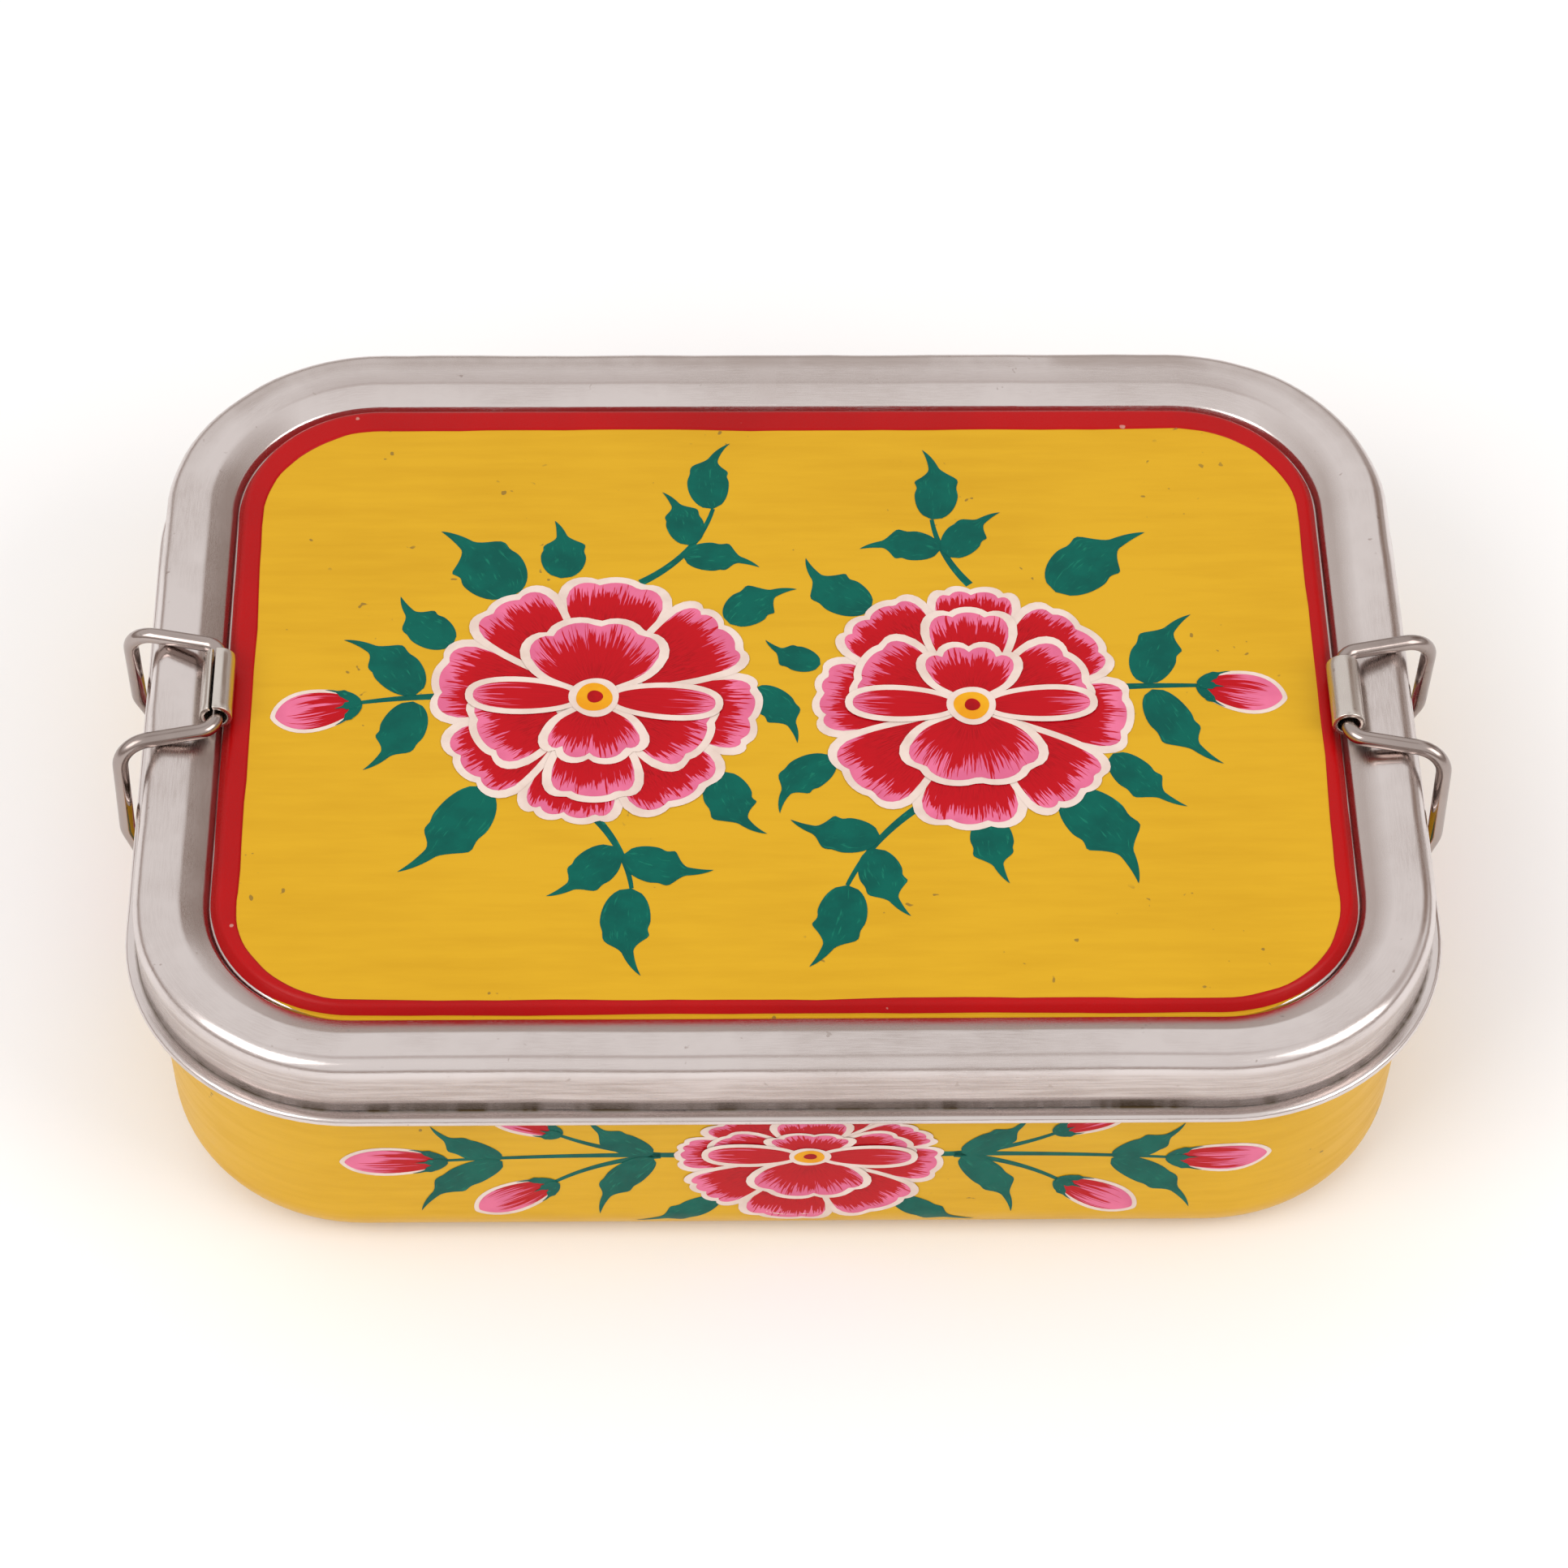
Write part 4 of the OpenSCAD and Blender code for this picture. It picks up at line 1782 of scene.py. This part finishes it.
@dataclass(frozen=True)
class Stem:
    """A thin curved stalk."""

    start: Vector
    end: Vector
    bend: float = 0.12
    wide: float = 0.62
    thin: float = 0.3

    def shape(self) -> Formula:
        """The stalk's formula.

        Returns:
            The formula.
        """
        run = self.end - self.start
        handle = self.start + run * 0.5 + Vector((-run.y, run.x)) * self.bend

        def at(u: float, t: float) -> Vector:
            """Point at (u, t) on the stalk."""
            spot, way = bezier(self.start, handle, self.end, t)
            return spot + Vector((-way.y, way.x)) * (u * (self.wide + (self.thin - self.wide) * t))

        return at


class Painter:
    """Paints flowers, buds and leaves on one ground, in thin layers of one colour each."""

    LAYER = 0.02

    def __init__(self, ground: PanelGround | WallGround, name: str, paints: Paints, seed: int) -> None:
        """Starts a painting.

        Args:
            ground: What to paint on.
            name: Start of the pieces' names.
            paints: The finishes.
            seed: Picks the hand's small variations.
        """
        self.name, self.paints = name, paints
        self.chance = random.Random(seed)
        kinds = {
            "leaves": Finish.LEAF,
            "lines": Finish.CREAM,
            "petals": Finish.PETAL,
            "buds": Finish.BUD,
            "centres": Finish.ORANGE,
            "dots": Finish.DOT,
        }
        self.brushes = {kind: Brush(ground, finish) for kind, finish in kinds.items()}

    def around(self, value: float, spread: float) -> float:
        """A value with a little chance in it."""
        return value + self.chance.uniform(-spread, spread)

    def petal(self, petal: Petal, centre: Vector, layer: int, line: float, squash: Pair) -> None:
        """Paints one petal over its cream outline.

        Args:
            petal: The petal.
            centre: Centre of its flower.
            layer: Layer of the outline; the petal is one above.
            line: Width of the outline.
            squash: Vertical scale above and below the centre.
        """
        steps = petal.lobes * 7
        self.brushes["lines"].stroke(petal.shape(centre, line, squash), layer * self.LAYER, steps, 7, 1.0)
        shape = petal.shape(centre, 0.0, squash)
        width = 2 * petal.half * petal.outer * 0.8
        self.brushes["petals"].stroke(shape, (layer + 1) * self.LAYER, steps, 8, width, petal.hidden)

    def flower(self, centre: Vector, radius: float, up: int = 1, squash: Pair = (1.0, 1.0)) -> None:
        """Paints one many-petalled flower.

        Args:
            centre: Its centre.
            radius: Its outer radius.
            up: 1 with the large inner petal at the top, -1 at the bottom.
            squash: Vertical scale above and below the centre.
        """
        line = 0.045 * radius
        count = 8
        start = math.radians(self.around(14, 6)) + (0 if up > 0 else math.pi)
        edges = [start + 2 * math.pi * (k + self.around(0, 0.08)) / count for k in range(count)]
        edges.append(edges[0] + 2 * math.pi)
        low = -math.pi / 2 * up
        self.disc("lines", centre, 0.76 * radius, 3, squash)
        for k, (a, b) in enumerate(zip(edges, edges[1:])):
            half = (b - a) / 2 - 0.45 * line / (0.75 * radius)
            outer = radius * self.around(0.93, 0.022) - 0.5 * line
            covered = 0.64 if math.cos((a + b) / 2 - low) > 0.2 else 0.46
            lobes = self.chance.choice((3, 3, 4))
            sway = self.around(0, 0.2)
            petal = Petal((a + b) / 2, half, 0.3 * radius, outer, lobes, 0.036 * radius, 0.13, sway, covered)
            self.petal(petal, centre, 4 if k % 2 else 6, line, squash)
        for turn, half, reach in ((-1.12, 0.47, 0.71), (0.0, 0.44, 0.73), (1.10, 0.48, 0.70)):
            angle, sway = low + self.around(turn, 0.05), self.around(0, 0.2)
            petal = Petal(angle, half, 0.24 * radius, reach * radius, 3, 0.036 * radius, 0.22, sway, 0.36)
            self.petal(petal, centre, 8 if turn else 10, line, squash)
        for angle, half, reach, layer in ((-low, 1.02, 0.58, 12), (low, 0.86, 0.46, 14)):
            sway = self.around(0, 0.2)
            petal = Petal(angle, half, 0.13 * radius, reach * radius, 4, 0.052 * radius, 0.26, sway, 0.05)
            self.petal(petal, centre, layer, line, squash)
        for side in (-1, 1):
            angle = math.pi / 2 - side * math.pi / 2 + math.radians(self.around(0, 5))
            foot, tip = (polar(centre, angle, reach * radius, squash) for reach in (0.11, 0.70))
            self.blade(Blade(foot, tip, 0.115 * radius), 16, line, "petals")
        self.disc("lines", centre, 0.145 * radius, 18, squash)
        self.disc("centres", centre, 0.105 * radius, 19, squash)
        self.disc("dots", centre + Vector((0.1, 0.1)), 0.046 * radius, 20, squash)

    def disc(self, brush: str, centre: Vector, radius: float, layer: int, squash: Pair) -> None:
        """Paints a slightly uneven round spot.

        Args:
            brush: Colour.
            centre: Its centre.
            radius: Its radius.
            layer: Its layer.
            squash: Vertical scale above and below the centre.
        """
        phase = self.around(0, 3)

        def at(u: float, t: float) -> Vector:
            """Point at (u, t) on the spot, from a square to a round."""
            x, y = u, 2 * t - 1
            wide, high = x * math.sqrt(1 - y * y / 2), y * math.sqrt(1 - x * x / 2)
            uneven = 1 + 0.03 * math.sin(3 * math.atan2(high, wide) + phase)
            return centre + Vector((wide * radius, high * radius * (squash[0] + squash[1]) / 2)) * uneven

        self.brushes[brush].stroke(at, layer * self.LAYER, 10, 10, 1.0)

    def blade(self, blade: Blade, layer: int, line: float, brush: str) -> None:
        """Paints one slim petal over its cream outline.

        Args:
            blade: The petal.
            layer: Layer of the outline.
            line: Width of the outline.
            brush: Colour.
        """
        self.brushes["lines"].stroke(blade.shape(line), layer * self.LAYER, 4, 18, 1.0)
        self.brushes[brush].stroke(blade.shape(0.0), (layer + 1) * self.LAYER, 6, 18, 2 * blade.half)

    def bud(self, base: Vector, tip: Vector, half: float = 2.6) -> None:
        """Paints a closed bud in its green cup.

        Args:
            base: Foot of the bud.
            tip: Its tip.
            half: Half its width.
        """
        self.blade(Blade(base, tip, half, 0.5), 2, 0.7, "buds")
        run = tip - base
        side = Vector((-run.y, run.x)).normalized()
        for layer, (turn, reach) in enumerate(((-1.0, 0.32), (1.0, 0.30), (0.1, 0.26)), 4):
            end = base + run * reach + side * (turn * half * 0.9)
            self.leaf_at(Leaf(base - run * 0.08, end, 0.85, 0.1 * turn), layer)

    def leaf_at(self, leaf: Leaf, layer: int) -> None:
        """Paints a leaf in a layer."""
        self.brushes["leaves"].stroke(leaf.shape(), layer * self.LAYER, 6, 34, 2 * leaf.width)

    def leaf(self, base: Pair, tip: Pair, width: float = 3.8, bend: float = 0.12) -> None:
        """Paints a leaf.

        Args:
            base: Its foot.
            tip: Its tip.
            width: Half its width.
            bend: Bend of its midrib, as a share of its length.
        """
        layer = 2 + self.brushes["leaves"].strokes % 2
        self.leaf_at(Leaf(Vector(base), Vector(tip), width, bend, self.around(0, 3)), layer)

    def stem(self, start: Pair, end: Pair, bend: float = 0.12) -> None:
        """Paints a stalk.

        Args:
            start: Its thick end.
            end: Its thin end.
            bend: Its bend, as a share of its length.
        """
        self.brushes["leaves"].stroke(Stem(Vector(start), Vector(end), bend).shape(), self.LAYER, 2, 14, 1.0)

    def sprig(self, start: Pair, end: Pair, bend: float, size: float) -> None:
        """Paints a curved stalk with a leaf at its end and one on each side.

        Args:
            start: Where it leaves the flower.
            end: Foot of its last leaf.
            bend: Bend of the stalk.
            size: Length of the leaves.
        """
        self.stem(start, end, bend)
        a, c = Vector(start), Vector(end)
        way = (c - a).normalized()
        last = way.copy()
        last.rotate(Matrix.Rotation(-bend * 2.2, 2))
        self.leaf(tuple(c), tuple(c + last * size * 1.15), 0.3 * size, -bend)
        for side, reach in ((1, 0.55), (-1, 0.42)):
            foot, _ = bezier(a, a + (c - a) * 0.5 + Vector((-(c - a).y, (c - a).x)) * bend, c, reach)
            out = way.copy()
            out.rotate(Matrix.Rotation(side * math.radians(self.around(62, 8)), 2))
            self.leaf(tuple(foot + out * 0.4), tuple(foot + out * size), 0.27 * size, -0.12 * side)

    def done(self) -> list[Piece]:
        """Makes the pieces of the painting.

        Returns:
            One piece for each colour used.
        """
        used = {kind: brush for kind, brush in self.brushes.items() if brush.strokes}
        return [brush.finish_piece(f"{self.name}_{kind}", self.paints) for kind, brush in used.items()]


def paint_lid(sizes: BoxSizes, paints: Paints) -> list[Piece]:
    """Paints two flowers with their leaves and buds on the lid's panel.

    Args:
        sizes: Sizes of the box.
        paints: The finishes.

    Returns:
        The painted pieces.
    """
    p = Painter(PanelGround(sizes), "lid_paint", paints, 11)
    left, right = Vector((-26.4, -1.2)), Vector((26.6, -2.9))
    p.stem((-46.0, -0.6), (-60.5, -2.0), -0.04)
    p.leaf((-51.5, -0.4), (-62.0, 9.8), 3.9, -0.16)
    p.leaf((-51.8, -1.6), (-58.4, -14.0), 3.7, 0.14)
    p.bud(Vector((-60.0, -2.0)), Vector((-71.0, -4.4)), 3.7)
    p.leaf((-38.8, 17.6), (-48.8, 30.5), 5.6, -0.12)
    p.leaf((-31.4, 21.4), (-32.4, 32.5), 3.7, -0.1)
    p.leaf((-46.5, 9.0), (-54.2, 18.0), 3.6, 0.12)
    p.sprig((-20.0, 20.5), (-9.5, 34.8), -0.2, 11.5)
    p.leaf((-7.2, 12.6), (2.4, 19.2), 3.7, 0.16)
    p.leaf((-4.0, 0.6), (2.0, -9.4), 3.1, 0.14)
    p.leaf((-8.5, -14.5), (-2.4, -25.6), 3.9, -0.2)
    p.leaf((-41.5, -17.0), (-53.0, -32.0), 4.6, 0.12)
    p.sprig((-26.2, -22.5), (-21.0, -35.0), 0.14, 13.0)
    p.flower(left, 24.4, 1)
    p.stem((45.0, 0.6), (60.5, 0.9), 0.02)
    p.leaf((51.4, 1.2), (58.6, 14.2), 3.8, 0.14)
    p.leaf((52.2, 0.2), (61.4, -13.4), 3.6, -0.12)
    p.bud(Vector((59.5, 0.9)), Vector((70.5, -1.4)), 3.7)
    p.leaf((39.5, 18.5), (53.0, 30.0), 5.2, 0.1)
    p.sprig((27.2, 20.0), (22.2, 32.6), 0.14, 12.0)
    p.leaf((13.0, 15.5), (3.8, 25.2), 4.0, 0.16)
    p.leaf((5.5, 5.0), (-2.2, 9.6), 2.6, 0.12)
    p.leaf((46.0, -11.5), (55.8, -21.0), 3.2, -0.1)
    p.leaf((7.2, -12.5), (-0.6, -22.0), 3.4, -0.2)
    p.leaf((38.8, -18.5), (48.2, -34.5), 5.0, 0.12)
    p.leaf((28.4, -22.5), (30.6, -34.4), 3.4, -0.1)
    p.sprig((18.5, -21.0), (8.4, -34.6), -0.12, 13.0)
    p.flower(right, 23.9, -1)
    return p.done()


def paint_wall(ground: WallGround, name: str, paints: Paints, seed: int) -> list[Piece]:
    """Paints a long wall: one wide flower with buds trailing to both sides.

    Args:
        ground: The wall.
        name: Start of the pieces' names.
        paints: The finishes.
        seed: Picks the hand's small variations.

    Returns:
        The painted pieces.
    """
    p = Painter(ground, name, paints, seed)
    middle = 2.8
    for side in (-1, 1):

        def at(dx: float, y: float) -> Pair:
            """Point on this side of the flower."""
            return (middle + side * dx, y)

        p.stem(at(14.5, -12.1), at(50.5, -13.2), 0.03 * side)
        p.bud(Vector(at(50.0, -13.2)), Vector(at(63.0, -13.4)), 3.2)
        p.stem(at(20.0, -12.2), at(35.5, -19.4), 0.16 * side)
        p.bud(Vector(at(35.0, -19.0)), Vector(at(45.0, -25.4)), 3.3)
        p.stem(at(20.0, -12.0), at(34.5, -6.4), -0.12 * side)
        p.bud(Vector(at(34.0, -6.6)), Vector(at(42.5, -2.6)), 1.9)
        p.leaf(at(21.0, -11.8), at(29.8, -2.8), 2.6, -0.12 * side)
        p.leaf(at(21.0, -12.6), at(28.4, -26.6), 2.9, 0.12 * side)
        p.leaf(at(41.5, -12.8), at(51.0, -4.6), 2.5, -0.12 * side)
        p.leaf(at(41.5, -13.3), at(53.0, -25.6), 2.9, 0.12 * side)
        p.leaf(at(12.0, -22.5), at(23.5, -29.0), 2.4, -0.1 * side)
    p.flower(Vector((3.1, -12.1)), 19.8, -1, (0.58, 0.88))
    return p.done()


def paint_end(ground: WallGround, name: str, paints: Paints, seed: int) -> list[Piece]:
    """Paints a short wall: one flower with a leaf and a bud to each side.

    Args:
        ground: The wall.
        name: Start of the pieces' names.
        paints: The finishes.
        seed: Picks the hand's small variations.

    Returns:
        The painted pieces.
    """
    p = Painter(ground, name, paints, seed)
    for side in (-1, 1):
        p.stem((side * 15.0, -13.0), (side * 27.0, -13.0), 0.03 * side)
        p.bud(Vector((side * 26.5, -13.0)), Vector((side * 36.5, -12.4)), 2.7)
        p.leaf((side * 18.5, -12.2), (side * 26.0, -3.2), 3.1, -0.12 * side)
        p.leaf((side * 18.5, -13.8), (side * 25.5, -24.5), 3.3, 0.12 * side)
        p.leaf((side * 10.0, -22.5), (side * 17.5, -29.5), 2.5, -0.1 * side)
    p.flower(Vector((0.0, -13.0)), 16.0, 1, (0.72, 0.86))
    return p.done()


# ---------------------------------------------------------------------------
# Stage
# ---------------------------------------------------------------------------


@dataclass(frozen=True)
class DarkPart:
    """A darker part of the room: its direction, its half width and soft edge in degrees, its strength."""

    way: Triple
    wide: float
    soft: float
    strength: float


@dataclass(frozen=True)
class Studio:
    """Pale floor, soft lights and the camera."""

    lens: float = 111.8
    distance: float = 0.6733
    elevation: float = 50.83
    azimuth: float = -1.78
    roll: float = 1.18
    aim: Triple = (0.0, -0.01777, 0.046)
    pale: Triple = (0.93, 0.912, 0.905)
    dark: Triple = (0.33, 0.25, 0.21)
    dark_parts: tuple[DarkPart, ...] = (
        DarkPart((0.58, 0.63, 0.51), 9.0, 10.0, 1.0),
        DarkPart((0.70, 0.15, 0.70), 8.0, 14.0, 0.55),
        DarkPart((0.0, 0.22, 0.98), 6.0, 8.0, 0.5),
    )
    horizon: Pair = (0.36, 0.20)
    horizon_strength: float = 0.75
    floor_half: float = 3.0
    floor_tone: Triple = (0.94, 0.945, 0.95)
    light_tone: Triple = (1.0, 0.99, 0.985)
    light_aim: Triple = (0.0, 0.0, 0.03)

    def camera(self) -> None:
        """Places the camera in front of the box, looking down on it."""
        el, az = math.radians(self.elevation), math.radians(self.azimuth)
        back = Vector((math.sin(az) * math.cos(el), -math.cos(az) * math.cos(el), math.sin(el)))
        data = bpy.data.cameras.new("camera")
        data.lens = self.lens
        camera = bpy.data.objects.new("camera", data)
        roll = Matrix.Rotation(math.radians(self.roll), 4, "Z")
        turn = back.to_track_quat("Z", "Y").to_matrix().to_4x4() @ roll
        camera.matrix_world = Matrix.Translation(Vector(self.aim) + back * self.distance) @ turn
        bpy.context.scene.collection.objects.link(camera)
        bpy.context.scene.camera = camera

    def floor(self) -> None:
        """Makes the pale floor."""
        bm = bmesh.new()
        bmesh.ops.create_grid(bm, x_segments=1, y_segments=1, size=self.floor_half)
        s = Shade("pale_floor")
        s.set(Base_Color=(*self.floor_tone, 1.0), Roughness=0.9, Specular_IOR_Level=0.1)
        to_object(bm, "floor", s.material)

    def light(self, name: str, spot: Vector, size: float, power: float) -> None:
        """Adds a soft square light aimed at the box.

        Args:
            name: Name of the light.
            spot: Its place in metres.
            size: Length of its sides in metres.
            power: Power in watts.
        """
        data = bpy.data.lights.new(name, "AREA")
        data.shape = "SQUARE"
        data.size = size
        data.energy = power
        data.color = self.light_tone
        lamp = bpy.data.objects.new(name, data)
        lamp.location = spot
        lamp.rotation_euler = (spot - Vector(self.light_aim)).to_track_quat("Z", "Y").to_euler()
        bpy.context.scene.collection.objects.link(lamp)

    def sky(self) -> None:
        """Makes a pale room with a few darker parts, which the steel reflects."""
        world = bpy.data.worlds.new("room")
        world.use_nodes = True
        kit = NodeKit(world.node_tree)
        way = kit.node("ShaderNodeTexCoord").outputs["Generated"]
        _, _, rise = kit.axes(way)
        colour = kit.mix(kit.ramp(rise, *self.horizon, 0.0, self.horizon_strength), self.pale, self.dark)
        for part in self.dark_parts:
            dot = kit.node("ShaderNodeVectorMath", operation="DOT_PRODUCT")
            dot.inputs[1].default_value = Vector(part.way).normalized()
            kit.link(way, dot.inputs[0])
            near, far = math.cos(math.radians(part.wide)), math.cos(math.radians(part.wide + part.soft))
            share = kit.ramp(dot.outputs["Value"], far, near, 0.0, part.strength)
            colour = kit.mix(share, colour, self.dark)
        kit.link(colour, world.node_tree.nodes["Background"].inputs["Color"])
        bpy.context.scene.world = world

    def build(self) -> None:
        """Sets up the whole stage."""
        self.camera()
        self.floor()
        self.light("key", Vector((-0.9, -0.7, 1.1)), 0.9, 7.5)
        self.light("fill", Vector((1.0, -0.5, 0.9)), 0.8, 5.5)
        self.sky()
        bpy.context.scene.view_settings.view_transform = "Standard"


def report(pieces: Iterable[Piece]) -> None:
    """Logs each piece with its body and size.

    Args:
        pieces: Pieces to log.
    """
    for piece in pieces:
        LOG.info("%s on %s, %d points", piece.name, piece.get("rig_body"), len(piece.data.vertices))


def main() -> None:
    """Builds the stage, the pressings, the clips and the painting."""
    logging.basicConfig(level=logging.INFO, format="%(name)s: %(message)s")
    Studio().build()
    sizes, paints = BoxSizes.from_frame(), Paints()
    tray = Tray(sizes, paints)
    report(tray.build())
    report(Lid(sizes, paints).build())
    for side in Side:
        report(Clip(side, sizes, paints).build())
    report(paint_lid(sizes, paints))
    for face, name in enumerate(("front", "right", "back", "left")):
        paint = paint_end if face % 2 else paint_wall
        report(paint(WallGround(tray, face), f"{name}_paint", paints, 20 + face))


if __name__ == "__main__":
    main()
